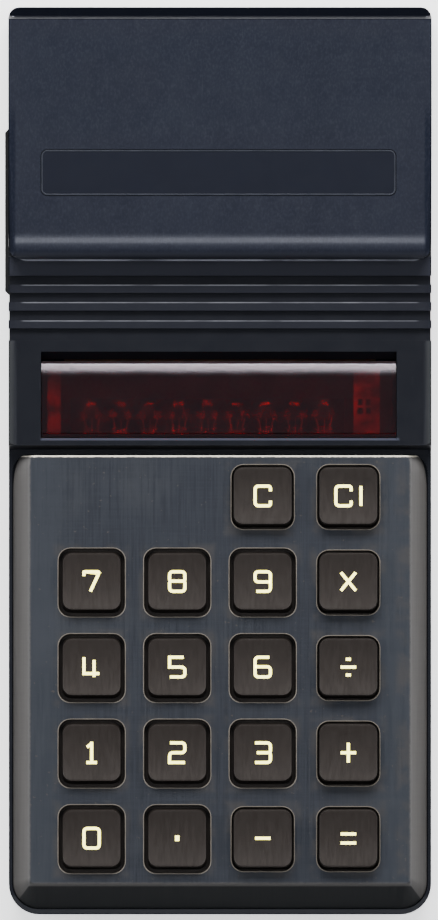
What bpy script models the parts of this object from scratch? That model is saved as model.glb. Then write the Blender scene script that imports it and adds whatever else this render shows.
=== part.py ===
"""Pocket calculator with a red LED display, as an assembly of separate pieces.

It lies on its back: +Z runs up out of the keys, +Y runs from the front edge towards the
display and the raised rear end, +X runs to the right. The origin is at the centre of the
footprint, on the surface that the four feet stand on.
"""
import math

import bmesh
import bpy

MM = 0.001
GAP = 0.3 * MM                     # clearance that touching pieces keep

# Whole case
HALF_W = 34.6 * MM
HALF_L = 74.3 * MM
WALL = 1.8 * MM
FRONT_CORNER = 5.0 * MM
REAR_CORNER = 1.6 * MM
FOOT_H = 1.0 * MM
FLOOR_TOP = FOOT_H + WALL
SPLIT_Z = 10.0 * MM                # where the upper case meets the lower case

# Top surfaces, from the rear to the front
REAR_TOP = (72.5 * MM, 24.0 * MM)
HUMP_BEND = (37.4 * MM, 25.3 * MM)   # where the top turns up into a rolled lip
HUMP_RISE = (36.6 * MM, 25.45 * MM)
RIDGE = (34.9 * MM, 26.2 * MM)
ROLL_R = 1.9 * MM
HUMP_FOOT_Y = 33.0 * MM
BAND_Z = 21.0 * MM
GROOVE_Z = 20.2 * MM
GROOVES = [(30.3, 28.85), (27.5, 26.0), (24.6, 23.0), (21.7, 19.7)]
DECK_Z = 20.4 * MM                 # surface round the display
DECK_FRONT_Y = 2.6 * MM
TRENCH_Z = 17.0 * MM
LIP_Z = 16.6 * MM
LEDGE_Z = 16.0 * MM                # what the key plate sits on
LEDGE_T = 1.6 * MM
RIM_X = 33.3 * MM

# Key plate
PLATE_TOP = 19.5 * MM
PLATE_EDGE_Z = LEDGE_Z + GAP
PLATE_T = 1.5 * MM
PLATE_HALF_W = 33.9 * MM
PLATE_FLAT_HALF_W = 31.3 * MM
PLATE_REAR_Y = 0.9 * MM
PLATE_FRONT_Y = -73.3 * MM
PLATE_FLAT_FRONT_Y = -69.2 * MM
PLATE_CORNERS = (4.25 * MM, 3.0 * MM)
SEAT_GAP = 0.15 * MM
KEY_ROOM_HALF_W = 29.3 * MM
KEY_ROOM_Y = (-68.3 * MM, 0.5 * MM)

# Keys
PITCH = 14.0 * MM
FIRST_COLUMN_X = -21.0 * MM
FIRST_ROW_Y = -5.9 * MM
CAP_BASE = (9.6 * MM, 10.0 * MM)
CAP_TOP_SCALE = 0.95
CAP_TOP_Z = 21.7 * MM
DIGIT_HOLE = (10.9 * MM, 11.3 * MM)
FUNCTION_HOLE = (10.2 * MM, 10.6 * MM)
FLANGE_MARGIN = 0.35 * MM
FLANGE_T = 0.8 * MM
FLANGE_TOP = PLATE_TOP - PLATE_T - GAP
STEM = 3.2 * MM
KEY_NAMES = [
    [None, None, "key_clear", "key_clear_entry"],
    ["key_7", "key_8", "key_9", "key_times"],
    ["key_4", "key_5", "key_6", "key_divide"],
    ["key_1", "key_2", "key_3", "key_plus"],
    ["key_0", "key_point", "key_minus", "key_equals"],
]
FUNCTION_KEYS = {"key_clear", "key_clear_entry", "key_times", "key_divide", "key_plus",
                 "key_minus", "key_equals"}

# Keyboard stack under the plate
FRAME_Y = (-67.3 * MM, 0.2 * MM)
FRAME_Z = (13.9 * MM, 15.1 * MM)
FRAME_HOLE = 4.0 * MM
STEM_END_Z = 13.6 * MM
MAT_Z = (11.3 * MM, 11.8 * MM)
DOME_TOP = STEM_END_Z - GAP
DOME_R = 3.6 * MM
KEY_BOARD_Z = (9.6 * MM, 11.0 * MM)
LOGIC_Z = (4.8 * MM, 6.4 * MM)
PARTS_Z = LOGIC_Z[1] + GAP         # underside of what stands on the logic board
LEG_PITCH = 2.54 * MM

# Display
OPENING_X = (-29.3 * MM, 28.9 * MM)
OPENING_Y = (3.6 * MM, 16.6 * MM)
OPENING_REAR_SLOPE = 17.9 * MM
WINDOW_TOP = 19.6 * MM
WINDOW_T = 1.6 * MM
DISPLAY_BOARD_Z = (13.8 * MM, 15.2 * MM)
DIGITS = 9
DIGIT_PITCH = 4.76 * MM
DIGIT_ROW_X = -21.1 * MM
LENS_Y = (4.6 * MM, 10.2 * MM)

# Name badge on the hump
BADGE_X = (-29.2 * MM, 28.7 * MM)
BADGE_Y = (43.4 * MM, 50.8 * MM)
BADGE_T = 0.5 * MM

# Battery bay, for two AA cells lying across the case
BAY_X = (-24.6 * MM, 30.6 * MM)
BAY_Y = (38.0 * MM, 68.5 * MM)
BAY_WALL = 1.2 * MM
BAY_CEILING = 18.6 * MM
CELL_R = 7.15 * MM
CELL_L = 49.2 * MM
CELL_Z = FLOOR_TOP + 0.5 * MM + CELL_R
CELL_OFFSET = 7.55 * MM             # of each cell from the middle of the bay
TONGUE_W = 0.8 * MM                 # each side of the cover runs in a groove this wide
TONGUE_Z = FOOT_H + 0.9 * MM
DOOR_PLAY = 0.1 * MM

# Slide switch in the left wall
KNOB_Y = (27.2 * MM, 54.4 * MM)
KNOB_Z = (12.9 * MM, 18.1 * MM)
KNOB_PROUD = 0.6 * MM
KNOB_TRAVEL = 5.0 * MM
RECESS_X = -33.0 * MM              # bottom of the recess that the knob slides in
PAD_X = -31.6 * MM                 # inner face of the thickened wall behind it
KNOB_STEM_Y = (38.0 * MM, 40.6 * MM)
KNOB_STEM_Z = (14.5 * MM, 16.5 * MM)

# Power jack in the right wall
JACK_Y = 27.0 * MM
JACK_Z = 14.5 * MM
JACK_NOSE_R = 2.5 * MM
JACK_BORE_R = 1.75 * MM
JACK_BODY = (7.2 * MM, 6.6 * MM)

# Screws and feet
BOSSES = [(-28.0 * MM, -70.0 * MM), (28.0 * MM, -70.0 * MM), (-28.5 * MM, 18.6 * MM),
          (28.5 * MM, 18.6 * MM)]
BOSS_R = 2.3 * MM
SCREW_R = 1.2 * MM
SCREW_HEAD_R = 2.2 * MM
SCREW_TIP_Z = 12.0 * MM
FEET = [(-27.0 * MM, -58.0 * MM), (27.0 * MM, -58.0 * MM), (-27.0 * MM, 31.0 * MM),
        (27.0 * MM, 31.0 * MM)]
FOOT_R = 4.0 * MM

OBJECT_NAME = "pocket_calculator"


def clear_scene():
    for item in list(bpy.data.objects):
        bpy.data.objects.remove(item, do_unlink=True)


def new_collection(name):
    collection = bpy.data.collections.new(name)
    bpy.context.scene.collection.children.link(collection)
    return collection


clear_scene()
PARTS = new_collection(OBJECT_NAME)
CUTTERS = new_collection("cutters")


def finish(name, colour, roughness, metallic=0.0):
    material = bpy.data.materials.new(name)
    material.use_nodes = True
    shader = material.node_tree.nodes["Principled BSDF"]
    shader.inputs["Base Color"].default_value = (*colour, 1.0)
    shader.inputs["Roughness"].default_value = roughness
    shader.inputs["Metallic"].default_value = metallic
    return material


CASE_PLASTIC = finish("case_plastic", (0.022, 0.026, 0.036), 0.45)
PLATE_PAINT = finish("plate_paint", (0.062, 0.074, 0.088), 0.5, 0.3)
KEY_PLASTIC = finish("key_plastic", (0.045, 0.038, 0.035), 0.42)
RED_WINDOW = finish("red_window", (0.16, 0.008, 0.012), 0.08)
CLEAR_LENS = finish("clear_lens", (0.55, 0.08, 0.08), 0.1)
BADGE_FOIL = finish("badge_foil", (0.016, 0.018, 0.03), 0.35)
BLACK_PLASTIC = finish("black_plastic", (0.02, 0.02, 0.021), 0.4)
BOARD_GREEN = finish("board_green", (0.05, 0.16, 0.07), 0.5)
BOARD_BROWN = finish("board_brown", (0.28, 0.16, 0.06), 0.6)
MAT_RUBBER = finish("mat_rubber", (0.32, 0.3, 0.28), 0.75)
FEET_RUBBER = finish("feet_rubber", (0.02, 0.02, 0.02), 0.85)
STEEL = finish("steel", (0.62, 0.61, 0.58), 0.3, 1.0)
BRASS = finish("brass", (0.72, 0.55, 0.25), 0.3, 1.0)
FERRITE = finish("ferrite", (0.07, 0.068, 0.066), 0.6)
CAN_BLUE = finish("can_blue", (0.03, 0.09, 0.25), 0.35)
CELL_JACKET = finish("cell_jacket", (0.5, 0.07, 0.04), 0.3)


def place(mesh, name, material, location=(0, 0, 0), rotation=(0, 0, 0)):
    """Link a mesh as a part, or as a cutter where it has no material."""
    item = bpy.data.objects.new(name, mesh)
    item.location = location
    item.rotation_euler = rotation
    if material is None:
        item.display_type = "WIRE"
        item.hide_render = True
        CUTTERS.objects.link(item)
    else:
        mesh.materials.clear()
        mesh.materials.append(material)
        PARTS.objects.link(item)
    return item


def as_mesh(work, name):
    mesh = bpy.data.meshes.new(name)
    work.normal_update()
    work.to_mesh(mesh)
    work.free()
    return mesh


def upright_edges(work):
    found = []
    for edge in work.edges:
        a, b = edge.verts
        if (a.co - b.co).xy.length < 1e-7:
            found.append(edge)
    return found


def block_mesh(name, size, corner=0.0, segments=3):
    """A box centred on its own origin, with its upright edges rounded."""
    work = bmesh.new()
    bmesh.ops.create_cube(work, size=1.0)
    bmesh.ops.scale(work, vec=size, verts=work.verts)
    if corner:
        bmesh.ops.bevel(work, geom=upright_edges(work), offset=corner, segments=segments,
                        profile=0.5, affect="EDGES")
    return as_mesh(work, name)


def block(name, material, x, y, z, corner=0.0, segments=3):
    """A box between two x, two y and two z values."""
    size = (x[1] - x[0], y[1] - y[0], z[1] - z[0])
    centre = ((x[0] + x[1]) / 2, (y[0] + y[1]) / 2, (z[0] + z[1]) / 2)
    return place(block_mesh(name, size, corner, segments), name, material, centre)


def blocks_cutter(name, boxes):
    """Several separate boxes as one cutter; each box is ((x, x), (y, y), (z, z))."""
    work = bmesh.new()
    for x, y, z in boxes:
        made = bmesh.ops.create_cube(work, size=1.0)["verts"]
        bmesh.ops.scale(work, vec=(x[1] - x[0], y[1] - y[0], z[1] - z[0]), verts=made)
        middle = ((x[0] + x[1]) / 2, (y[0] + y[1]) / 2, (z[0] + z[1]) / 2)
        bmesh.ops.translate(work, vec=middle, verts=made)
    return place(as_mesh(work, name), name, None)


def turned(name, material, profile, location, rotation=(0, 0, 0), sides=20):
    """A profile of (radius, height), top to bottom on the outer side, turned about Z."""
    mesh = bpy.data.meshes.new(name)
    edges = [(i, i + 1) for i in range(len(profile) - 1)]
    mesh.from_pydata([(r, 0, z) for r, z in profile], edges, [])
    item = place(mesh, name, material, location, rotation)
    screw = item.modifiers.new("turn", "SCREW")
    screw.steps = sides
    screw.render_steps = sides
    screw.use_merge_vertices = True
    screw.merge_threshold = 0.00001
    return item


def rod(name, material, radius, length, location, rotation=(0, 0, 0), sides=16):
    half = length / 2
    profile = [(0, half), (radius, half), (radius, -half), (0, -half)]
    return turned(name, material, profile, location, rotation, sides)


def outline_prism(name, points, half_depth, material=None):
    """A closed outline of (y, z) points, extruded along X to both sides."""
    curve = bpy.data.curves.new(name, "CURVE")
    curve.dimensions = "2D"
    curve.fill_mode = "BOTH"
    curve.extrude = half_depth
    spline = curve.splines.new("POLY")
    spline.points.add(len(points) - 1)
    for point, (y, z) in zip(spline.points, points):
        point.co = (y, z, 0, 1)
    spline.use_cyclic_u = True
    drawn = bpy.data.objects.new(name + "_curve", curve)
    drawn.rotation_euler = (math.pi / 2, 0, math.pi / 2)
    CUTTERS.objects.link(drawn)
    bpy.context.view_layer.update()
    graph = bpy.context.evaluated_depsgraph_get()
    mesh = bpy.data.meshes.new_from_object(drawn.evaluated_get(graph))
    mesh.transform(drawn.matrix_world)
    bpy.data.objects.remove(drawn, do_unlink=True)
    work = bmesh.new()
    work.from_mesh(mesh)
    bmesh.ops.remove_doubles(work, verts=work.verts, dist=0.00001)
    bmesh.ops.recalc_face_normals(work, faces=work.faces)
    work.to_mesh(mesh)
    work.free()
    return place(mesh, name, material)


def boolean(item, other, operation="DIFFERENCE"):
    step = item.modifiers.new(operation.lower(), "BOOLEAN")
    step.operation = operation
    step.solver = "EXACT"
    step.object = other
    return item


def turn_smooth(item, angle=35):
    item.data.shade_smooth()
    item.data.set_sharp_from_angle(angle=math.radians(angle))


def arc(centre, radius, start, end, steps):
    """Points on an arc in the (y, z) plane; angles in degrees from +Y towards +Z."""
    points = []
    for i in range(steps + 1):
        angle = math.radians(start + (end - start) * i / steps)
        points.append((centre[0] + radius * math.cos(angle),
                       centre[1] + radius * math.sin(angle)))
    return points


def hump_top():
    """The hump's top from the rear edge to its foot: straight, then a lip rolled over."""
    roll = arc((RIDGE[0], RIDGE[1] - ROLL_R), ROLL_R, 62, 170, 6)
    return [REAR_TOP, HUMP_BEND, HUMP_RISE, *roll]


def plan_block(half_w, y, z, front_corner, rear_corner, segments=5):
    """A block seen from above as a rectangle with its own front and rear corner radii."""
    work = bmesh.new()
    bmesh.ops.create_cube(work, size=1.0)
    bmesh.ops.scale(work, vec=(2 * half_w, y[1] - y[0], z[1] - z[0]), verts=work.verts)
    bmesh.ops.translate(work, vec=(0, (y[0] + y[1]) / 2, (z[0] + z[1]) / 2),
                        verts=work.verts)
    for radius, end in ((front_corner, y[0]), (rear_corner, y[1])):
        edges = [e for e in upright_edges(work) if abs(e.verts[0].co.y - end) < 0.01 * MM]
        bmesh.ops.bevel(work, geom=edges, offset=radius, segments=segments, profile=0.5,
                        affect="EDGES")
    return work


def key_sites():
    """Each key's name, centre and hole size."""
    for row, names in enumerate(KEY_NAMES):
        for column, name in enumerate(names):
            if name:
                hole = FUNCTION_HOLE if name in FUNCTION_KEYS else DIGIT_HOLE
                yield (name, FIRST_COLUMN_X + column * PITCH, FIRST_ROW_Y - row * PITCH,
                       hole)


def make_upper_case():
    below = SPLIT_Z - 5 * MM
    side = [(HALF_L + 1 * MM, SPLIT_Z), (HALF_L, SPLIT_Z), *hump_top(),
            (HUMP_FOOT_Y, BAND_Z), (DECK_FRONT_Y, BAND_Z), (DECK_FRONT_Y - 0.5 * MM, TRENCH_Z),
            (PLATE_REAR_Y + SEAT_GAP, TRENCH_Z), (PLATE_REAR_Y + SEAT_GAP, LIP_Z),
            (-HALF_L - 1 * MM, LIP_Z), (-HALF_L - 1 * MM, SPLIT_Z)]
    case = outline_prism("upper_case", side[1:], HALF_W + 1 * MM, CASE_PLASTIC)
    plan = plan_block(HALF_W, (-HALF_L, HALF_L), (SPLIT_Z, 40 * MM), FRONT_CORNER,
                      REAR_CORNER)
    boolean(case, place(as_mesh(plan, "case_plan"), "case_plan", None), "INTERSECT")

    inner = [(70.9 * MM, below), (70.9 * MM, REAR_TOP[1] - WALL),
             (HUMP_BEND[0], HUMP_BEND[1] - WALL), (36.0 * MM, 23.8 * MM),
             (35.2 * MM, 23.2 * MM), (35.2 * MM, BAND_Z - 2.2 * MM),
             (DECK_FRONT_Y + 1.4 * MM, BAND_Z - 2.4 * MM), (DECK_FRONT_Y + 1.4 * MM, below)]
    boolean(case, outline_prism("hump_hollow", inner, HALF_W - WALL))
    hollow_y = (-HALF_L + WALL, DECK_FRONT_Y + 2 * MM)
    boolean(case, block("keyboard_hollow", None, (-HALF_W + WALL, HALF_W - WALL), hollow_y,
                        (below, LEDGE_Z - LEDGE_T), FRONT_CORNER - WALL))
    seat = plan_block(PLATE_HALF_W + SEAT_GAP,
                      (PLATE_FRONT_Y - SEAT_GAP, PLATE_REAR_Y + SEAT_GAP),
                      (LEDGE_Z, 30 * MM), *PLATE_CORNERS)
    boolean(case, place(as_mesh(seat, "plate_seat"), "plate_seat", None))
    boolean(case, block("key_room", None, (-KEY_ROOM_HALF_W, KEY_ROOM_HALF_W), KEY_ROOM_Y,
                        (SPLIT_Z, 30 * MM)))

    grooves = []
    for rear, front in GROOVES:
        grooves.append(((-50 * MM, 50 * MM), (front * MM, rear * MM), (GROOVE_Z, 30 * MM)))
    boolean(case, blocks_cutter("rib_grooves", grooves))
    deck_y = (DECK_FRONT_Y - 1 * MM, GROOVES[-1][1] * MM + 0.001 * MM)
    boolean(case, block("deck_cut", None, (-RIM_X, RIM_X), deck_y, (DECK_Z, 30 * MM)))
    opening = [(OPENING_Y[0], 30 * MM), (OPENING_Y[0], 10 * MM), (OPENING_Y[1], 10 * MM),
               (OPENING_Y[1], WINDOW_TOP - 1.8 * MM), (OPENING_REAR_SLOPE, DECK_Z),
               (OPENING_REAR_SLOPE, 30 * MM)]
    window_hole = outline_prism("window_hole", opening, (OPENING_X[1] - OPENING_X[0]) / 2)
    window_hole.location.x = (OPENING_X[0] + OPENING_X[1]) / 2
    boolean(case, window_hole)

    badge_seat = badge_block("badge_seat", None, GAP, BADGE_T + GAP)
    boolean(case, badge_seat)

    pad = block("switch_pad", None, (-HALF_W + 0.9 * MM, PAD_X), (25 * MM, 61.5 * MM),
                (11.2 * MM, 19.4 * MM))
    boolean(case, pad, "UNION")
    recess_y = (KNOB_Y[0] - GAP, KNOB_Y[1] + KNOB_TRAVEL + GAP)
    recess_z = (KNOB_Z[0] - GAP, KNOB_Z[1] + GAP)
    boolean(case, block("knob_recess", None, (-40 * MM, RECESS_X), recess_y, recess_z))
    slot_y = (KNOB_STEM_Y[0] - GAP, KNOB_STEM_Y[1] + KNOB_TRAVEL + GAP)
    slot_z = (KNOB_STEM_Z[0] - GAP, KNOB_STEM_Z[1] + GAP)
    boolean(case, block("stem_slot", None, (-40 * MM, PAD_X + 1 * MM), slot_y, slot_z))
    boolean(case, rod("jack_hole", None, JACK_NOSE_R + GAP, 6 * MM,
                      (HALF_W, JACK_Y, JACK_Z), (0, math.pi / 2, 0)))

    for i, (x, y) in enumerate(BOSSES):
        top = LEDGE_Z - 0.8 * MM if y < 0 else BAND_Z - 1.5 * MM
        length = top - (SCREW_TIP_Z - 5 * MM)
        centre = (x, y, top - length / 2)
        boolean(case, rod(f"boss_{i}", None, BOSS_R, length, centre, sides=12), "UNION")
        hole_top = SCREW_TIP_Z + GAP
        hole = rod(f"boss_hole_{i}", None, SCREW_R + GAP, hole_top, (x, y, hole_top / 2),
                   sides=12)
        boolean(case, hole)
    return case


def badge_block(name, material, grow, depth):
    """A thin rounded block sunk into the hump's sloping top."""
    slope = math.atan2(HUMP_BEND[1] - REAR_TOP[1], REAR_TOP[0] - HUMP_BEND[0])
    y = (BADGE_Y[0] + BADGE_Y[1]) / 2
    part = (y - REAR_TOP[0]) / (HUMP_BEND[0] - REAR_TOP[0])
    surface = REAR_TOP[1] + part * (HUMP_BEND[1] - REAR_TOP[1])
    size = (BADGE_X[1] - BADGE_X[0] + 2 * grow, BADGE_Y[1] - BADGE_Y[0] + 2 * grow,
            depth if material else depth + 4 * MM)
    middle = surface - depth / 2 if material else surface - depth + size[2] / 2
    centre = ((BADGE_X[0] + BADGE_X[1]) / 2, y, middle)
    return place(block_mesh(name, size, 1.0 * MM), name, material, centre, (-slope, 0, 0))


def make_lower_case():
    work = plan_block(HALF_W, (-HALF_L, HALF_L), (FOOT_H, SPLIT_Z - GAP), FRONT_CORNER,
                      REAR_CORNER)
    bottom = [e for e in work.edges if max(v.co.z for v in e.verts) < FOOT_H + 1e-6]
    bmesh.ops.bevel(work, geom=bottom, offset=1.4 * MM, segments=2, profile=0.5,
                    affect="EDGES")
    case = place(as_mesh(work, "lower_case"), "lower_case", CASE_PLASTIC)
    hollow = (-HALF_W + WALL, HALF_W - WALL)
    boolean(case, block("tub_hollow", None, hollow, (-HALF_L + WALL, HALF_L - WALL),
                        (FLOOR_TOP, 40 * MM), FRONT_CORNER - WALL))

    bay_x = (BAY_X[0] - BAY_WALL, BAY_X[1] + BAY_WALL)
    bay_y = (BAY_Y[0] - BAY_WALL, BAY_Y[1] + BAY_WALL)
    bay_z = (FOOT_H + 1 * MM, BAY_CEILING + BAY_WALL)
    boolean(case, block("bay_walls", None, bay_x, bay_y, bay_z), "UNION")
    boolean(case, block("bay_hollow", None, BAY_X, BAY_Y, (-5 * MM, BAY_CEILING)))
    door_x = (BAY_X[0] - DOOR_PLAY, BAY_X[1] + DOOR_PLAY)
    door_y = (BAY_Y[0] - DOOR_PLAY, 90 * MM)
    boolean(case, block("door_way", None, door_x, door_y, (-5 * MM, FLOOR_TOP + GAP)))
    groove_x = (BAY_X[0] - TONGUE_W, BAY_X[1] + TONGUE_W)
    groove_y = (BAY_Y[0] + GAP, 90 * MM)
    boolean(case, block("door_groove", None, groove_x, groove_y,
                        (TONGUE_Z - GAP, FLOOR_TOP + GAP - DOOR_PLAY)))

    for i, (x, y) in enumerate(BOSSES):
        head = rod(f"screw_seat_{i}", None, SCREW_HEAD_R + GAP, 6 * MM,
                   (x, y, FOOT_H + 1.3 * MM - 3 * MM), sides=16)
        boolean(case, head)
        boolean(case, rod(f"screw_hole_{i}", None, SCREW_R + GAP, 10 * MM, (x, y, 0),
                          sides=12))
    for i, (x, y) in enumerate(FEET):
        boolean(case, rod(f"foot_seat_{i}", None, FOOT_R + GAP, 4 * MM,
                          (x, y, FOOT_H + 0.5 * MM - 2 * MM), sides=20))
    return case


def make_screws_and_feet():
    head_z = (FOOT_H + 0.1 * MM, FOOT_H + 1.3 * MM - GAP)
    for i, (x, y) in enumerate(BOSSES):
        profile = [(0, SCREW_TIP_Z), (SCREW_R * 0.6, SCREW_TIP_Z),
                   (SCREW_R, SCREW_TIP_Z - 1 * MM), (SCREW_R, head_z[1]),
                   (SCREW_HEAD_R, head_z[1]), (SCREW_HEAD_R, head_z[0] + 0.4 * MM),
                   (SCREW_HEAD_R - 0.5 * MM, head_z[0]), (0, head_z[0])]
        screw = turned(f"case_screw_{i + 1}", STEEL, profile, (x, y, 0), sides=16)
        slot = block(f"screw_slot_{i}", None, (x - 1.6 * MM, x + 1.6 * MM),
                     (y - 0.3 * MM, y + 0.3 * MM), (0, head_z[0] + 0.5 * MM))
        boolean(screw, slot)
    for i, (x, y) in enumerate(FEET):
        profile = [(0, FOOT_H + 0.5 * MM - GAP), (FOOT_R, FOOT_H + 0.5 * MM - GAP),
                   (FOOT_R, 0.3 * MM), (FOOT_R - 0.3 * MM, 0), (0, 0)]
        turn_smooth(turned(f"rubber_foot_{i + 1}", FEET_RUBBER, profile, (x, y, 0)))


def make_key_plate():
    """A tray of sheet: flat top, sloping sides, square rear edge and a hollow underside."""
    work = plan_block(PLATE_HALF_W, (PLATE_FRONT_Y, PLATE_REAR_Y), (PLATE_EDGE_Z, PLATE_TOP),
                      *PLATE_CORNERS)
    narrow = PLATE_FLAT_HALF_W / PLATE_HALF_W
    shorten = (PLATE_REAR_Y - PLATE_FLAT_FRONT_Y) / (PLATE_REAR_Y - PLATE_FRONT_Y)
    for vertex in work.verts:
        if vertex.co.z > PLATE_TOP - 0.01 * MM:
            vertex.co.x *= narrow
            vertex.co.y = PLATE_REAR_Y - (PLATE_REAR_Y - vertex.co.y) * shorten
    plate = place(as_mesh(work, "key_plate"), "key_plate", PLATE_PAINT)

    room_x = PLATE_FLAT_HALF_W - 0.9 * MM
    room_y = (PLATE_FLAT_FRONT_Y + 0.9 * MM, PLATE_REAR_Y - 0.6 * MM)
    boolean(plate, block("plate_underside", None, (-room_x, room_x), room_y,
                         (10 * MM, PLATE_TOP - PLATE_T)))
    holes = []
    for name, x, y, hole in key_sites():
        holes.append(((x - hole[0] / 2, x + hole[0] / 2), (y - hole[1] / 2, y + hole[1] / 2),
                      (10 * MM, 30 * MM)))
    boolean(plate, blocks_cutter("key_holes", holes))
    return plate


def key_mesh(name, hole):
    """A cap on a retaining flange, with a square stem below; the origin is at the plate."""
    work = bmesh.new()
    bmesh.ops.create_cube(work, size=1.0)
    flange = (hole[0] + 2 * FLANGE_MARGIN, hole[1] + 2 * FLANGE_MARGIN)
    bmesh.ops.scale(work, vec=(*flange, FLANGE_T), verts=work.verts)
    bmesh.ops.translate(work, vec=(0, 0, FLANGE_TOP - FLANGE_T / 2 - PLATE_TOP),
                        verts=work.verts)
    work.faces.ensure_lookup_table()
    top = next(f for f in work.faces if f.normal.z > 0.9)
    bottom = next(f for f in work.faces if f.normal.z < -0.9)
    heights = ((top, (flange[0] - CAP_BASE[0]) / 2, CAP_TOP_Z - FLANGE_TOP, CAP_TOP_SCALE),
               (bottom, (flange[0] - STEM) / 2, STEM_END_Z - FLANGE_TOP + FLANGE_T, 1.0))
    for face, margin, rise, taper in heights:
        bmesh.ops.inset_individual(work, faces=[face], thickness=margin, depth=0,
                                   use_even_offset=True)
        made = bmesh.ops.extrude_discrete_faces(work, faces=[face])["faces"][0]
        for vertex in made.verts:
            vertex.co.x *= taper
            vertex.co.y *= taper
            vertex.co.z += rise
    cap_base = FLANGE_TOP - PLATE_TOP
    rounded = []
    for edge in work.edges:
        low, high = sorted(v.co.z for v in edge.verts)
        if abs(low - cap_base) < 1e-6 and high > 0:
            rounded.append(edge)
    bmesh.ops.bevel(work, geom=rounded, offset=1.3 * MM, segments=2, profile=0.5,
                    affect="EDGES")
    rim = []
    for edge in work.edges:
        if min(v.co.z for v in edge.verts) > CAP_TOP_Z - PLATE_TOP - 1e-6:
            rim.append(edge)
    bmesh.ops.bevel(work, geom=rim, offset=0.45 * MM, segments=1, affect="EDGES")
    return as_mesh(work, name)


def make_keys():
    meshes = {}
    for name, x, y, hole in key_sites():
        if hole not in meshes:
            kind = "function_cap" if hole == FUNCTION_HOLE else "digit_cap"
            meshes[hole] = key_mesh(kind, hole)
            meshes[hole].materials.append(KEY_PLASTIC)
        key = bpy.data.objects.new(name, meshes[hole])
        key.location = (x, y, PLATE_TOP)
        PARTS.objects.link(key)


def make_keyboard():
    """Guide frame, dome mat and contact board, stacked under the key plate."""
    frame_x = KEY_ROOM_HALF_W - GAP
    frame = block("key_frame", BLACK_PLASTIC, (-frame_x, frame_x), FRAME_Y, FRAME_Z)
    rims = []
    for sign in (-1, 1):
        edge = sorted((sign * frame_x, sign * (frame_x - 1.0 * MM)))
        rims.append((edge, FRAME_Y, (FRAME_Z[0] + 0.2 * MM, FLANGE_TOP)))
    boolean(frame, blocks_cutter("frame_rims", rims), "UNION")
    half = FRAME_HOLE / 2
    holes = [((x - half, x + half), (y - half, y + half), (0, 30 * MM))
             for name, x, y, hole in key_sites()]
    boolean(frame, blocks_cutter("stem_holes", holes))

    mat = block("contact_mat", MAT_RUBBER, (-28.6 * MM, 28.6 * MM), (-66.6 * MM, 0.8 * MM),
                MAT_Z, 1.5 * MM, 2)
    height = DOME_TOP - MAT_Z[1]
    for name, x, y, hole in key_sites():
        profile = [(0, height), (DOME_R * 0.45, height), (DOME_R, 0.15 * MM),
                   (DOME_R, -0.3 * MM), (0, -0.3 * MM)]
        dome = turned("dome_" + name, None, profile, (x, y, MAT_Z[1]), sides=12)
        boolean(mat, dome, "UNION")

    board = block("keyboard_board", BOARD_GREEN, (-30.5 * MM, 30.5 * MM),
                  (-70.6 * MM, 1.6 * MM), KEY_BOARD_Z)
    cut_boss_corners(board)


def cut_boss_corners(board):
    """Notch a board's edges where the screw bosses pass."""
    room = BOSS_R + 0.6 * MM
    notches = []
    for x, y in BOSSES:
        side = math.copysign(1, x)
        front = -HALF_L if y < 0 else y - room
        notches.append((sorted((x - side * room, x + side * 9 * MM)), (front, y + room),
                        (0, 30 * MM)))
    boolean(board, blocks_cutter(board.name + "_notches", notches))


def make_electronics():
    board = block("logic_board", BOARD_BROWN, (-31.0 * MM, 31.0 * MM),
                  (-66.5 * MM, 34.5 * MM), LOGIC_Z)
    cut_boss_corners(board)
    chip("calculator_chip", (-4.0 * MM, -20.0 * MM), (36.0 * MM, 13.6 * MM, 2.3 * MM))
    chip("digit_driver_chip", (-6.0 * MM, 10.5 * MM), (22.0 * MM, 6.4 * MM, 2.6 * MM))
    block("keyboard_connector", BRASS, (-16 * MM, 16 * MM), (-63.5 * MM, -62.0 * MM),
          (PARTS_Z, KEY_BOARD_Z[0] - GAP))
    block("display_connector", BRASS, (-20 * MM, 20 * MM), (4.6 * MM, 5.8 * MM),
          (PARTS_Z, DISPLAY_BOARD_Z[0] - GAP))

    core = [(0, 6.6), (5.4, 6.6), (5.4, 5.0), (3.9, 4.6), (3.9, 2.0), (5.4, 1.6), (5.4, 0),
            (0, 0)]
    coil = turned("converter_coil", FERRITE, [(r * MM, z * MM) for r, z in core],
                  (-17.0 * MM, 26.6 * MM, PARTS_Z))
    turn_smooth(coil)
    lying = (0, math.pi / 2, 0)
    for name, x, y, radius, length in (("filter_capacitor", -2.5, 29.6, 3.1, 11.0),
                                       ("input_capacitor", -2.5, 22.0, 3.1, 11.0)):
        profile = [(0, length / 2), (radius, length / 2), (radius, -length / 2 + 1.6),
                   (radius - 0.35, -length / 2 + 1.3), (radius - 0.35, -length / 2 + 0.9),
                   (radius, -length / 2 + 0.6), (radius, -length / 2), (0, -length / 2)]
        can = turned(name, CAN_BLUE, [(r * MM, z * MM) for r, z in profile],
                     (x * MM, y * MM, PARTS_Z + radius * MM), lying)
        turn_smooth(can)
    transistor = rod("power_transistor", BLACK_PLASTIC, 2.4 * MM, 4.6 * MM,
                     (9.5 * MM, 30.0 * MM, PARTS_Z + 2.3 * MM), sides=16)
    flat = block("transistor_flat", None, (0 * MM, 20 * MM), (31.6 * MM, 40 * MM),
                 (0, 30 * MM))
    boolean(transistor, flat)
    for i, y in enumerate((20.8, 24.0)):
        profile = [(0, 3.2), (1.0, 3.2), (1.15, 2.6), (1.15, 1.9), (0.85, 1.5),
                   (0.85, -1.5), (1.15, -1.9), (1.15, -2.6), (1.0, -3.2), (0, -3.2)]
        turned(f"resistor_{i + 1}", MAT_RUBBER, [(r * MM, z * MM) for r, z in profile],
               (11.5 * MM, y * MM, PARTS_Z + 1.2 * MM), lying, sides=12)


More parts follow.
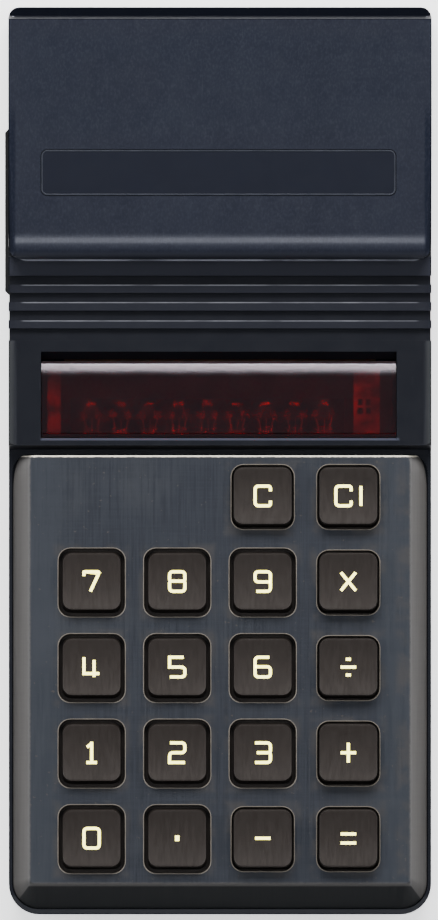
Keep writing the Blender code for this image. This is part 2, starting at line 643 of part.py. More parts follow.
def chip(name, centre, size):
    """A flat package with a row of legs down each long side, as one body."""
    x, y = centre
    body = block(name, BLACK_PLASTIC, (x - size[0] / 2, x + size[0] / 2),
                 (y - size[1] / 2, y + size[1] / 2), (PARTS_Z + 0.3 * MM, PARTS_Z + size[2]))
    legs = []
    count = int(size[0] / LEG_PITCH)
    for i in range(count):
        at = x + (i - (count - 1) / 2) * LEG_PITCH
        for sign in (-1, 1):
            inner = y + sign * (size[1] / 2 - 0.6 * MM)
            outer = y + sign * (size[1] / 2 + 0.7 * MM)
            legs.append(((at - 0.4 * MM, at + 0.4 * MM), sorted((inner, outer)),
                         (PARTS_Z, PARTS_Z + 1.2 * MM)))
    boolean(body, blocks_cutter(name + "_legs", legs), "UNION")


def make_display():
    block("display_board", BOARD_GREEN, (-28.6 * MM, 28.2 * MM), (4.0 * MM, 15.4 * MM),
          DISPLAY_BOARD_Z)
    lens_x = (DIGIT_ROW_X - DIGIT_PITCH / 2 - 1.0 * MM,
              DIGIT_ROW_X + (DIGITS - 0.5) * DIGIT_PITCH + 1.0 * MM)
    lens_z = (DISPLAY_BOARD_Z[1] + GAP, DISPLAY_BOARD_Z[1] + GAP + 0.9 * MM)
    lens = block("display_lens", CLEAR_LENS, lens_x, LENS_Y, lens_z)
    for i in range(DIGITS):
        profile = [(0, 1.0), (0.9, 0.86), (1.6, 0.5), (2.05, 0.1), (2.05, -0.4), (0, -0.4)]
        bubble = turned(f"bubble_{i}", None, [(r * MM, z * MM) for r, z in profile],
                        (DIGIT_ROW_X + i * DIGIT_PITCH, sum(LENS_Y) / 2, lens_z[1]), sides=12)
        boolean(lens, bubble, "UNION")

    top, thickness = WINDOW_TOP, WINDOW_T
    front, rear = OPENING_Y[0] + GAP, OPENING_Y[1] - GAP
    roll = arc((rear - 1.7 * MM, top - 1.7 * MM), 1.7 * MM, 0, 90, 4)
    side = [(front, top - thickness), (rear, top - thickness)]
    side += [point for point in roll if point[1] > top - thickness + 0.05 * MM]
    side += [(front + 0.4 * MM, top), (front, top - 0.4 * MM)]
    half = (OPENING_X[1] - OPENING_X[0]) / 2 - GAP
    window = outline_prism("display_window", side, half, RED_WINDOW)
    window.location.x = (OPENING_X[0] + OPENING_X[1]) / 2
    badge_block("name_badge", BADGE_FOIL, 0.0, BADGE_T)


def make_battery():
    cell_x = (BAY_X[0] + BAY_X[1]) / 2
    profile = [(0, 0.5), (0.19, 0.5), (0.19, 0.482), (0.9, 0.482), (1.0, 0.475),
               (1.0, -0.495), (0.95, -0.5), (0, -0.5)]
    for i, sign in enumerate((1, -1)):
        y = sum(BAY_Y) / 2 + sign * CELL_OFFSET
        scaled = [(r * CELL_R, z * CELL_L) for r, z in profile]
        cell = turned(f"battery_cell_{i + 1}", CELL_JACKET, scaled, (cell_x, y, CELL_Z),
                      (0, sign * math.pi / 2, 0), sides=24)
        turn_smooth(cell)

    wall_left, wall_right = BAY_X[0] + GAP, BAY_X[1] - GAP
    reach = cell_x - CELL_L / 2 - GAP - wall_left
    mid = sum(BAY_Y) / 2
    for name, y, x in (("battery_contact_plus", mid - CELL_OFFSET, (wall_left, 1)),
                       ("battery_contact_minus", mid + CELL_OFFSET, (wall_left, 1)),
                       ("battery_contact_link", mid, (wall_right, -1))):
        half = 13.0 * MM if name.endswith("link") else 5.0 * MM
        plate_x = sorted((x[0], x[0] + x[1] * 0.5 * MM))
        plate = block(name, STEEL, plate_x, (y - half, y + half),
                      (CELL_Z - 5.0 * MM, CELL_Z + 5.0 * MM))
        centres = (mid - CELL_OFFSET, mid + CELL_OFFSET) if name.endswith("link") else (y,)
        for i, centre in enumerate(centres):
            cone = [(0, reach), (1.2 * MM, reach), (3.2 * MM, 0.2 * MM), (3.2 * MM, 0),
                    (0, 0)]
            spring = turned(f"{name}_spring_{i}", None, cone, (x[0] + x[1] * 0.2 * MM, centre,
                            CELL_Z), (0, x[1] * math.pi / 2, 0), sides=12)
            spring.scale.z = (reach - 0.2 * MM) / reach
            boolean(plate, spring, "UNION")


def make_battery_cover():
    """The door under the cells: it slides out to the rear, its side tongues in grooves."""
    x = (BAY_X[0] + GAP, BAY_X[1] - GAP)
    y = (BAY_Y[0] + GAP, HALF_L)
    work = bmesh.new()
    bmesh.ops.create_cube(work, size=1.0)
    size = (x[1] - x[0], y[1] - y[0], FLOOR_TOP - FOOT_H)
    bmesh.ops.scale(work, vec=size, verts=work.verts)
    outer = [e for e in work.edges if all(v.co.y > 0 and v.co.z < 0 for v in e.verts)]
    bmesh.ops.bevel(work, geom=outer, offset=1.4 * MM, segments=2, profile=0.5,
                    affect="EDGES")
    centre = (sum(x) / 2, sum(y) / 2, (FLOOR_TOP + FOOT_H) / 2)
    cover = place(as_mesh(work, "battery_cover"), "battery_cover", CASE_PLASTIC, centre)
    tongue_x = (x[0] - TONGUE_W, x[1] + TONGUE_W)
    tongue_y = (y[0] + 1 * MM, y[1] - 3 * MM)
    boolean(cover, block("cover_tongues", None, tongue_x, tongue_y,
                         (TONGUE_Z, FLOOR_TOP - 0.05 * MM)), "UNION")
    grips = []
    for i in range(6):
        rear = y[1] - (5 + 2 * i) * MM
        grips.append(((sum(x) / 2 - 10 * MM, sum(x) / 2 + 10 * MM), (rear - 1 * MM, rear),
                      (0, FOOT_H + 0.5 * MM)))
    boolean(cover, blocks_cutter("cover_grips", grips))


def make_switch():
    knob_y_middle = sum(KNOB_Y) / 2
    outer = -HALF_W - KNOB_PROUD
    inner = RECESS_X - GAP
    work = bmesh.new()
    bmesh.ops.create_cube(work, size=1.0)
    size = (inner - outer, KNOB_Y[1] - KNOB_Y[0], KNOB_Z[1] - KNOB_Z[0])
    bmesh.ops.scale(work, vec=size, verts=work.verts)
    ends = []
    for edge in work.edges:
        a, b = edge.verts
        if a.co.x < 0 and b.co.x < 0 and abs(a.co.y - b.co.y) < 1e-9:
            ends.append(edge)
    bmesh.ops.bevel(work, geom=ends, offset=0.6 * MM, segments=1, affect="EDGES")
    centre = ((inner + outer) / 2, knob_y_middle, sum(KNOB_Z) / 2)
    knob = place(as_mesh(work, "switch_knob"), "switch_knob", BLACK_PLASTIC, centre)
    stem = block("knob_stem", None, (inner - 0.5 * MM, PAD_X + 1.9 * MM), KNOB_STEM_Y,
                 KNOB_STEM_Z)
    boolean(knob, stem, "UNION")
    ridges = []
    for i in range(9):
        y = knob_y_middle + (i - 4) * 2.0 * MM
        ridges.append(((-40 * MM, outer + 0.35 * MM), (y - 0.4 * MM, y + 0.4 * MM),
                       (KNOB_Z[0] + 0.8 * MM, KNOB_Z[1] - 0.8 * MM)))
    boolean(knob, blocks_cutter("knob_ridges", ridges))

    body_x = (PAD_X + GAP, PAD_X + GAP + 4.6 * MM)
    body = block("switch_body", STEEL, body_x, (33.5 * MM, 50.5 * MM), (12.6 * MM, 18.4 * MM))
    slot_y = (KNOB_STEM_Y[0] - GAP, KNOB_STEM_Y[1] + KNOB_TRAVEL + GAP)
    slot_z = (KNOB_STEM_Z[0] - GAP, KNOB_STEM_Z[1] + GAP)
    boolean(body, block("switch_throat", None, (-40 * MM, PAD_X + 2.2 * MM), slot_y, slot_z))


def make_jack():
    """The socket for a mains adaptor: a box with a round nose and two legs."""
    half_y, half_z = JACK_BODY[0] / 2, JACK_BODY[1] / 2
    body = block("power_jack", BLACK_PLASTIC, (25.8 * MM, 32.5 * MM),
                 (JACK_Y - half_y, JACK_Y + half_y), (JACK_Z - half_z, JACK_Z + half_z))
    sideways = (0, math.pi / 2, 0)
    nose_end = HALF_W - 0.3 * MM
    nose = rod("jack_nose", None, JACK_NOSE_R, nose_end - 31 * MM,
               ((nose_end + 31 * MM) / 2, JACK_Y, JACK_Z), sideways)
    boolean(body, nose, "UNION")
    legs = []
    for sign in (-1, 1):
        y = JACK_Y + sign * 2.2 * MM
        legs.append(((26.4 * MM, 27.2 * MM), (y - 0.6 * MM, y + 0.6 * MM), (PARTS_Z, JACK_Z)))
    boolean(body, blocks_cutter("jack_legs", legs), "UNION")
    boolean(body, rod("jack_bore", None, JACK_BORE_R, 14 * MM, (nose_end, JACK_Y, JACK_Z),
                      sideways))


make_upper_case()
make_lower_case()
make_key_plate()
make_keys()
make_keyboard()
make_electronics()
make_display()
make_battery()
make_battery_cover()
make_switch()
make_jack()
make_screws_and_feet()
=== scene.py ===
"""The looks of a pocket calculator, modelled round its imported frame.

+Z runs up out of the keys, +Y towards the display and the raised battery end. Lengths are in
metres, and most are written in millimetres times MM.
"""

import math

import bmesh
import bpy
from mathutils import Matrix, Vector


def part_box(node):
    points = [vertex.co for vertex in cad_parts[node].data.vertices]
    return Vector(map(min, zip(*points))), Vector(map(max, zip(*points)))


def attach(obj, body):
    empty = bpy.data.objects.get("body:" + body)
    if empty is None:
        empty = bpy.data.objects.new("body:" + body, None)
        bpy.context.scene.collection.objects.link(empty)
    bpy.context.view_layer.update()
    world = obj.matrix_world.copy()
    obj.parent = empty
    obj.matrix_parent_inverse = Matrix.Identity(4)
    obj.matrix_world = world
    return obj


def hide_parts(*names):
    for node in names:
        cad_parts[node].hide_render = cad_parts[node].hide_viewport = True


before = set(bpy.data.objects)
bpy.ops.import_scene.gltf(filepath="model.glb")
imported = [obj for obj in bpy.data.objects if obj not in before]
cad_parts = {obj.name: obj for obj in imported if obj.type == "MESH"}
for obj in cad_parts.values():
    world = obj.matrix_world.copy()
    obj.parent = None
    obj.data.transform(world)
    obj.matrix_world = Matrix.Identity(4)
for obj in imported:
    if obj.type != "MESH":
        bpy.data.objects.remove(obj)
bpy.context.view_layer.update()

MM = 0.001
BODY = "case"

# Sizes read from the frame
CASE_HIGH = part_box("upper_case")[1]
PLATE_LOW, PLATE_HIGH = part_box("key_plate")
WINDOW_LOW, WINDOW_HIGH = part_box("display_window")
KNOB_LOW, KNOB_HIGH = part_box("switch_knob")
BADGE_LOW, BADGE_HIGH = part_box("name_badge")
HALF_W = CASE_HIGH[0]
HALF_L = CASE_HIGH[1]
PLATE_TOP = PLATE_HIGH[2]
SPLIT_Z = 10.0 * MM
FIT = 0.15 * MM                    # play of the key plate in its seat
OVERSIZE = 1 * MM                  # by which blanks pass the plan that trims them
BLANK_X = (-HALF_W - OVERSIZE, HALF_W + OVERSIZE)

# The upper case's top, as (y, z) from the rear to the front
REAR_EDGE = (72.3 * MM, 24.0 * MM)
HUMP_BEND = (37.4 * MM, 25.65 * MM)
RIDGE = (34.7 * MM, 26.2 * MM)
RIDGE_REAR_R = 3.6 * MM
RIDGE_FRONT_R = 1.7 * MM
HUMP_FRONT_CORNER = 2.2 * MM
FOOT_Y = 33.0 * MM
FOOT_CORNER = (31.5 * MM, 35.2 * MM)
FOOT_CORNER_R = 2.34 * MM
BAND_Z = 21.0 * MM
GROOVES = ((30.3, 28.85), (27.5, 26.0), (24.6, 23.0), (21.7, 19.7))
GROOVE_Z = 20.2 * MM
NOTCH = 0.25 * MM
DECK_Z = 20.4 * MM
DECK_FRONT_Y = 2.6 * MM
DECK_CUT_TOP = 30 * MM             # the deck's cutter widens up to here, past the rim
DECK_LEAN = 14                     # by this many widths of the rim
RIM_OUTER_X = 34.3 * MM
RIM_INNER_X = 33.1 * MM
TRENCH_Z = 17.0 * MM
LIP_Z = 16.6 * MM
LEDGE_Z = 16.0 * MM
WALL = 1.8 * MM
LARGE_CORNER = 3 * MM
ABOVE = 40 * MM                    # over everything, for cutters
BEYOND = 50 * MM                   # past both sides, for cutters
FRONT_CORNER = 5.0 * MM
REAR_CORNER = 1.7 * MM

# Key plate
FLAT_HALF_W = 31.3 * MM
FLAT_FRONT_Y = -69.2 * MM
PLATE_T = 1.5 * MM
PLATE_FRONT_CORNER = 4.25 * MM
PLATE_REAR_CORNER = (1.8 * MM, 5.6 * MM)
CORNER_STEPS = 10
DIGIT_HOLE = (10.8 * MM, 11.1 * MM)
FUNCTION_HOLE = (10.15 * MM, 10.45 * MM)
HOLE_CORNER = 1.9 * MM
PITCH = 14.0 * MM

KEYS = ("key_clear", "key_clear_entry", "key_7", "key_8", "key_9", "key_times", "key_4",
        "key_5", "key_6", "key_divide", "key_1", "key_2", "key_3", "key_plus", "key_0",
        "key_point", "key_minus", "key_equals")
FUNCTION_KEYS = ("key_clear", "key_clear_entry", "key_times", "key_divide", "key_plus",
                 "key_minus", "key_equals")


# ---------------------------------------------------------------- working in edit mode

def deselect():
    if bpy.context.mode != "OBJECT":
        bpy.ops.object.mode_set(mode="OBJECT")
    bpy.ops.object.select_all(action="DESELECT")


def show(item):
    bpy.context.scene.collection.objects.link(item)


def take(piece):
    deselect()
    piece.select_set(True)
    bpy.context.view_layer.objects.active = piece


def settle(piece):
    """Puts a piece's place, turn and size into its mesh."""
    take(piece)
    bpy.ops.object.transform_apply(location=True, rotation=True, scale=True)
    return piece


def block(name, x, y, z):
    """A block between two x, two y and two z values."""
    deselect()
    centre = ((x[0] + x[1]) / 2, (y[0] + y[1]) / 2, (z[0] + z[1]) / 2)
    size = (x[1] - x[0], y[1] - y[0], z[1] - z[0])
    bpy.ops.mesh.primitive_cube_add(size=1, location=centre, scale=size)
    piece = bpy.context.active_object
    piece.name = name
    return settle(piece)


def drum(name, radius, depth, centre, axis="Z", sides=32):
    """A round bar centred on a point."""
    turn = {"X": (0, math.pi / 2, 0), "Y": (math.pi / 2, 0, 0), "Z": (0, 0, 0)}[axis]
    deselect()
    bpy.ops.mesh.primitive_cylinder_add(vertices=sides, radius=radius, depth=depth,
                                        location=centre, rotation=turn)
    piece = bpy.context.active_object
    piece.name = name
    return settle(piece)


def pick(piece, kind, test):
    """Opens a piece in edit mode with just the parts that pass a test selected."""
    take(piece)
    bpy.ops.object.mode_set(mode="EDIT")
    bpy.ops.mesh.select_mode(type=kind)
    bpy.ops.mesh.select_all(action="DESELECT")
    cage = bmesh.from_edit_mesh(piece.data)
    found = {"VERT": cage.verts, "EDGE": cage.edges, "FACE": cage.faces}[kind]
    count = 0
    for item in found:
        if test(item):
            item.select_set(True)
            count += 1
    bmesh.update_edit_mesh(piece.data)
    return count


def pick_all(piece):
    """Opens a piece in edit mode with all of it selected."""
    take(piece)
    bpy.ops.object.mode_set(mode="EDIT")
    bpy.ops.mesh.select_all(action="SELECT")


def done():
    bpy.ops.object.mode_set(mode="OBJECT")


def pull_down(depth):
    """Extrudes the picked faces straight down."""
    bpy.ops.mesh.extrude_region_move(TRANSFORM_OT_translate={"value": (0, 0, -depth)})


def upright(edge):
    a, b = edge.verts
    return (a.co - b.co).xy.length < 1e-7


def faces_up(face):
    return face.normal.z > 0.9


def faces_down(face):
    return face.normal.z < -0.9


def round_uprights(piece, radius, test=lambda edge: True, segments=8):
    if pick(piece, "EDGE", lambda edge: upright(edge) and test(edge)):
        bpy.ops.mesh.bevel(offset=radius, segments=segments, affect="EDGES")
    done()


def plan_block(name, half_w, y, z, front_corner, rear_corner):
    """A block whose front and rear corners have their own radii, seen from above."""
    piece = block(name, (-half_w, half_w), y, z)
    middle = (y[0] + y[1]) / 2
    round_uprights(piece, front_corner, lambda e: e.verts[0].co.y < middle,
                   10 if front_corner > LARGE_CORNER else 4)
    round_uprights(piece, rear_corner, lambda e: e.verts[0].co.y > middle and
                   abs(abs(e.verts[0].co.x) - half_w) < 0.01 * MM, 4)
    return piece


def flat_outline(name, points, fill="NONE", half_depth=0.0):
    """A closed outline made a mesh: bare, or filled and drawn out to both sides."""
    deselect()
    curve = bpy.data.curves.new(name, "CURVE")
    curve.dimensions = "2D"
    curve.fill_mode = fill
    curve.extrude = half_depth
    spline = curve.splines.new("POLY")
    spline.points.add(len(points) - 1)
    for point, (across, along) in zip(spline.points, points):
        point.co = (across, along, 0, 1)
    spline.use_cyclic_u = True
    piece = bpy.data.objects.new(name, curve)
    show(piece)
    take(piece)
    bpy.ops.object.convert(target="MESH")
    return bpy.context.active_object


def side_slab(name, points, x):
    """An outline of (y, z) points, drawn out along X between two x values."""
    piece = flat_outline(name, points, "BOTH", (x[1] - x[0]) / 2)
    piece.rotation_euler = (math.pi / 2, 0, math.pi / 2)
    piece.location.x = (x[0] + x[1]) / 2
    settle(piece)
    return weld(piece)


def weld(piece):
    pick_all(piece)
    bpy.ops.mesh.remove_doubles(threshold=0.00001)
    bpy.ops.mesh.normals_make_consistent(inside=False)
    done()
    return piece


def clean(piece):
    """Merges near points and removes needless edges from flat faces."""
    pick_all(piece)
    bpy.ops.mesh.remove_doubles(threshold=0.00003)
    bpy.ops.mesh.dissolve_limited(angle_limit=math.radians(0.5))
    done()
    return piece


def apply(piece, kind, **settings):
    """Adds a modifier and applies it."""
    step = piece.modifiers.new(kind.lower(), kind)
    for name, value in settings.items():
        setattr(step, name, value)
    take(piece)
    bpy.ops.object.modifier_apply(modifier=step.name)
    return piece


def carve(piece, *tools, operation="DIFFERENCE"):
    """Cuts or joins tools into a piece, and throws the tools away."""
    for tool in tools:
        apply(piece, "BOOLEAN", object=tool, operation=operation, solver="EXACT")
        bpy.data.objects.remove(tool, do_unlink=True)
    return piece


def join(pieces, name):
    take(pieces[0])
    for piece in pieces[1:]:
        piece.select_set(True)
    bpy.ops.object.join()
    pieces[0].name = name
    return pieces[0]


def soften(piece, width, segments=3, angle=30):
    """Rounds every sharp edge, and keeps the flat faces flat."""
    apply(piece, "BEVEL", width=width, segments=segments, limit_method="ANGLE",
          angle_limit=math.radians(angle), use_clamp_overlap=True)
    return even_shade(piece, 50)


def smooth(piece, angle=35):
    take(piece)
    bpy.ops.object.shade_smooth_by_angle(angle=math.radians(angle))
    return piece


def even_shade(piece, angle):
    """Smooth shading that leaves the large flat faces looking flat."""
    smooth(piece, angle)
    return apply(piece, "WEIGHTED_NORMAL", keep_sharp=True, weight=50)


def wear(piece, *materials):
    """Gives a piece its finishes, in slot order."""
    piece.data.materials.clear()
    for material in materials:
        piece.data.materials.append(material)
    return piece


def arc(centre, radius, start, end, steps):
    """Points of an arc; the angles are in degrees from the first axis to the second."""
    points = []
    for i in range(steps + 1):
        angle = math.radians(start + (end - start) * i / steps)
        points.append((centre[0] + radius * math.cos(angle),
                       centre[1] + radius * math.sin(angle)))
    return points


# ---------------------------------------------------------------- finishes

class Finish:
    """One material, with short ways to add and link its nodes."""

    def __init__(self, name, colour, roughness, metallic=0.0, specular=0.5):
        self.material = bpy.data.materials.new(name)
        self.material.use_nodes = True
        self.nodes = self.material.node_tree.nodes
        self.links = self.material.node_tree.links
        self.shader = self.nodes["Principled BSDF"]
        self.colour((*colour, 1))
        self.roughness(roughness)
        self.put("Metallic", metallic)
        self.put("Specular IOR Level", specular)
        self.place = self.add("ShaderNodeTexCoord").outputs["Object"]

    def add(self, kind, **settings):
        node = self.nodes.new(kind)
        for name, value in settings.items():
            setattr(node, name, value)
        return node

    def feed(self, value, socket):
        if isinstance(value, bpy.types.NodeSocket):
            self.links.new(value, socket)
        else:
            socket.default_value = value

    def stretched(self, scale):
        mapping = self.add("ShaderNodeMapping")
        mapping.inputs["Scale"].default_value = scale
        self.links.new(self.place, mapping.inputs["Vector"])
        return mapping.outputs["Vector"]

    def noise(self, scale, detail=3.0, rough=0.55):
        """Noise with scale spots to the metre, or with one number for each axis."""
        if isinstance(scale, (int, float)):
            scale = (scale, scale, scale)
        node = self.add("ShaderNodeTexNoise")
        node.inputs["Scale"].default_value = 1.0
        node.inputs["Detail"].default_value = detail
        node.inputs["Roughness"].default_value = rough
        self.links.new(self.stretched(scale), node.inputs["Vector"])
        return node.outputs["Fac"]

    def axis(self, name):
        split = self.add("ShaderNodeSeparateXYZ")
        self.links.new(self.place, split.inputs["Vector"])
        return split.outputs[name]

    def math(self, operation, a, b=0.0):
        node = self.add("ShaderNodeMath", operation=operation)
        self.feed(a, node.inputs[0])
        self.feed(b, node.inputs[1])
        return node.outputs[0]

    def times(self, first, *others):
        """A product. Of masks, it is where all of them lie."""
        for other in others:
            first = self.math("MULTIPLY", first, other)
        return first

    def larger(self, a, b):
        """The larger of two values. Of masks, it is where either lies."""
        return self.math("MAXIMUM", a, b)

    def minus(self, a, b):
        return self.math("SUBTRACT", a, b)

    def gap(self, a, b):
        """How far apart two values are."""
        return self.math("ABSOLUTE", self.minus(a, b))

    def outside(self, mask):
        return self.minus(1.0, mask)

    def size(self, name):
        """The distance from the middle along one axis."""
        return self.math("ABSOLUTE", self.axis(name))

    def fade(self, value, low, high):
        """A mask that falls from 1 to 0 between low and high."""
        return self.ramp(value, low, high, 1.0, 0.0)

    def ramp(self, value, low, high, to_low=0.0, to_high=1.0):
        """Maps low..high to to_low..to_high, smoothly and clamped."""
        node = self.add("ShaderNodeMapRange", interpolation_type="SMOOTHSTEP")
        for socket, number in zip(node.inputs[1:5], (low, high, to_low, to_high)):
            socket.default_value = number
        self.feed(value, node.inputs[0])
        return node.outputs[0]

    def line(self, axis, at, half_width):
        """A soft line across one axis, bright at its middle."""
        return self.fade(self.gap(self.axis(axis), at), half_width * 0.3, half_width)

    def blend(self, factor, a, b):
        """A colour between a and b."""
        node = self.add("ShaderNodeMix", data_type="RGBA")
        self.feed(factor, node.inputs[0])
        for value, socket in ((a, node.inputs[6]), (b, node.inputs[7])):
            self.feed(value if isinstance(value, bpy.types.NodeSocket) else (*value, 1),
                      socket)
        return node.outputs[2]

    def put(self, name, value):
        """Links or sets one of the shader's sockets."""
        self.feed(value, self.shader.inputs[name])

    def colour(self, value):
        self.put("Base Color", value)

    def roughness(self, value):
        self.put("Roughness", value)

    def bump(self, height, strength, distance):
        node = self.add("ShaderNodeBump")
        node.inputs["Strength"].default_value = strength
        node.inputs["Distance"].default_value = distance
        self.links.new(height, node.inputs["Height"])
        self.put("Normal", node.outputs["Normal"])


def case_plastic():
    """Satin navy-black moulding with grain and faint scratches. Its raised top is painted paler as
    painted light, and its edges and lines carry painted highlights and painted shade.
    """
    mix = Finish("navy_black_moulding", (0.0035, 0.0045, 0.008), 0.42, specular=0.2)
    side, along, height = mix.size("X"), mix.axis("Y"), mix.axis("Z")
    band_top = mix.ramp(height, 20.6 * MM, 20.9 * MM)
    under_hump = mix.fade(height, 21.1 * MM, 21.6 * MM)
    # painted light: the raised top, above 21.4 mm, takes the paler colours
    handling_and_painted_light = mix.ramp(height, 21.4 * MM, 24.0 * MM)
    rear_end = mix.ramp(along, 72.0 * MM, 72.4 * MM)

    cloud = mix.ramp(mix.noise((90, 22, 90), 4), 0.3, 0.75)
    # low and high are shaded and lit copies of one colour, blended by height as painted light
    low = mix.blend(cloud, (0.0046, 0.0050, 0.0070), (0.0057, 0.0061, 0.0084))
    high = mix.blend(cloud, (0.0068, 0.0080, 0.0132), (0.0080, 0.0094, 0.0152))
    base = mix.blend(handling_and_painted_light, low, high)
    # painted light: the ribbed band, the flat band behind the first groove and the ridge lip's
    # front face are painted paler to lift the ridge's shade off them
    ribs = mix.times(mix.ramp(along, 17.5 * MM, 20.5 * MM), band_top, under_hump)
    base = mix.blend(ribs, base, (0.0088, 0.0094, 0.0130))
    band = mix.times(ribs, mix.ramp(along, 30.2 * MM, 30.4 * MM))
    lip = mix.times(mix.ramp(height, 21.1 * MM, 21.6 * MM),
                   mix.fade(along, 33.6 * MM, 34.4 * MM))
    base = mix.blend(mix.larger(band, lip), base, (0.0185, 0.0195, 0.0265))
    # painted highlight along the case's front lip
    front_lip = mix.fade(along, -71.5 * MM, -71.0 * MM)
    base = mix.blend(front_lip, base, (0.0125, 0.0130, 0.0150))
    # painted shade on the side walls, both end walls and the hump's rear edge
    walls = mix.larger(mix.ramp(side, 34.35 * MM, 34.5 * MM),
                       mix.ramp(mix.size("Y"), 74.0 * MM, 74.2 * MM))
    base = mix.blend(mix.larger(walls, rear_end), base, (0.0022, 0.0027, 0.0048))
    # painted highlight on the deck's raised side rims, ending at the ribbed band
    rim = mix.times(mix.ramp(side, 33.4 * MM, RIM_OUTER_X),
                   mix.ramp(height, 19.6 * MM, DECK_Z),
                   mix.ramp(along, 19.5 * MM, 19.8 * MM, 0.8, 0.0))
    base = mix.blend(rim, base, (0.02, 0.021, 0.0215))

    # painted highlights: pale lines along the grooves' front edges, broken up by patchy
    patchy = mix.ramp(mix.noise((160, 40, 40), 3), 0.3, 0.65, 0.35, 0.9)
    groove_highlight = None
    for _, front in GROOVES:
        edge = mix.line("Y", (front - 0.08) * MM, 0.14 * MM)
        groove_highlight = edge if groove_highlight is None else mix.larger(groove_highlight, edge)
    groove_highlight = mix.times(groove_highlight, mix.fade(side, 32.0 * MM, 32.8 * MM), band_top, patchy)
    base = mix.blend(groove_highlight, base, (0.11, 0.112, 0.125))
    # painted highlight: a bright line along the hump's foot and round its corners
    past_x = mix.larger(mix.minus(side, FOOT_CORNER[0]), 0.0)
    past_y = mix.larger(mix.minus(FOOT_CORNER[1], along), 0.0)
    reach = mix.math("POWER", mix.math("ADD", mix.times(past_x, past_x),
                                       mix.times(past_y, past_y)), 0.5)
    off = mix.gap(reach, FOOT_CORNER_R)
    foot = mix.times(mix.fade(off, 0.04 * MM, 0.2 * MM),
                    mix.ramp(height, 20.7 * MM, 20.9 * MM), under_hump, patchy)
    base = mix.blend(foot, base, (0.42, 0.43, 0.48))
    # painted highlight on the front chamfer of the window's mouth
    sill = mix.times(mix.line("Y", 3.56 * MM, 0.3 * MM),
                    mix.ramp(height, 19.6 * MM, 19.9 * MM),
                    mix.fade(side, 29.2 * MM, 29.5 * MM))
    base = mix.blend(sill, base, (0.03, 0.033, 0.046))

    shaved = mix.times(mix.ramp(side, 33.2 * MM, 33.7 * MM),
                      mix.ramp(height, 20.9 * MM, 21.3 * MM),
                      mix.fade(along, 54 * MM, 60 * MM))
    shaved = mix.larger(shaved, mix.times(rear_end, 0.85))
    gloss = mix.times(mix.outside(shaved), 0.155)
    mix.put("Specular IOR Level", gloss)
    mix.put("Specular Tint", (0.86, 0.89, 1.0, 1))

    scratch = mix.ramp(mix.noise((2600, 190, 400), 2), 0.68, 0.76)
    base = mix.blend(mix.times(scratch, 0.25), base, (0.02, 0.022, 0.028))
    speckle = mix.ramp(mix.noise((3400, 1900, 3400), 3), 0.4, 0.75, 0.0, 0.45)
    base = mix.blend(mix.times(speckle, handling_and_painted_light), base, (0.018, 0.020, 0.029))
    dust = mix.times(mix.ramp(mix.noise(5200, 1), 0.74, 0.8),
                    mix.ramp(mix.noise(300, 2), 0.45, 0.7), 0.5)
    mix.colour(mix.blend(dust, base, (0.05, 0.052, 0.058)))
    mix.roughness(mix.ramp(mix.noise(420, 4), 0.3, 0.75, 0.35, 0.42))
    mix.bump(mix.noise(7000, 2), 0.12, 0.00005)
    return mix.material


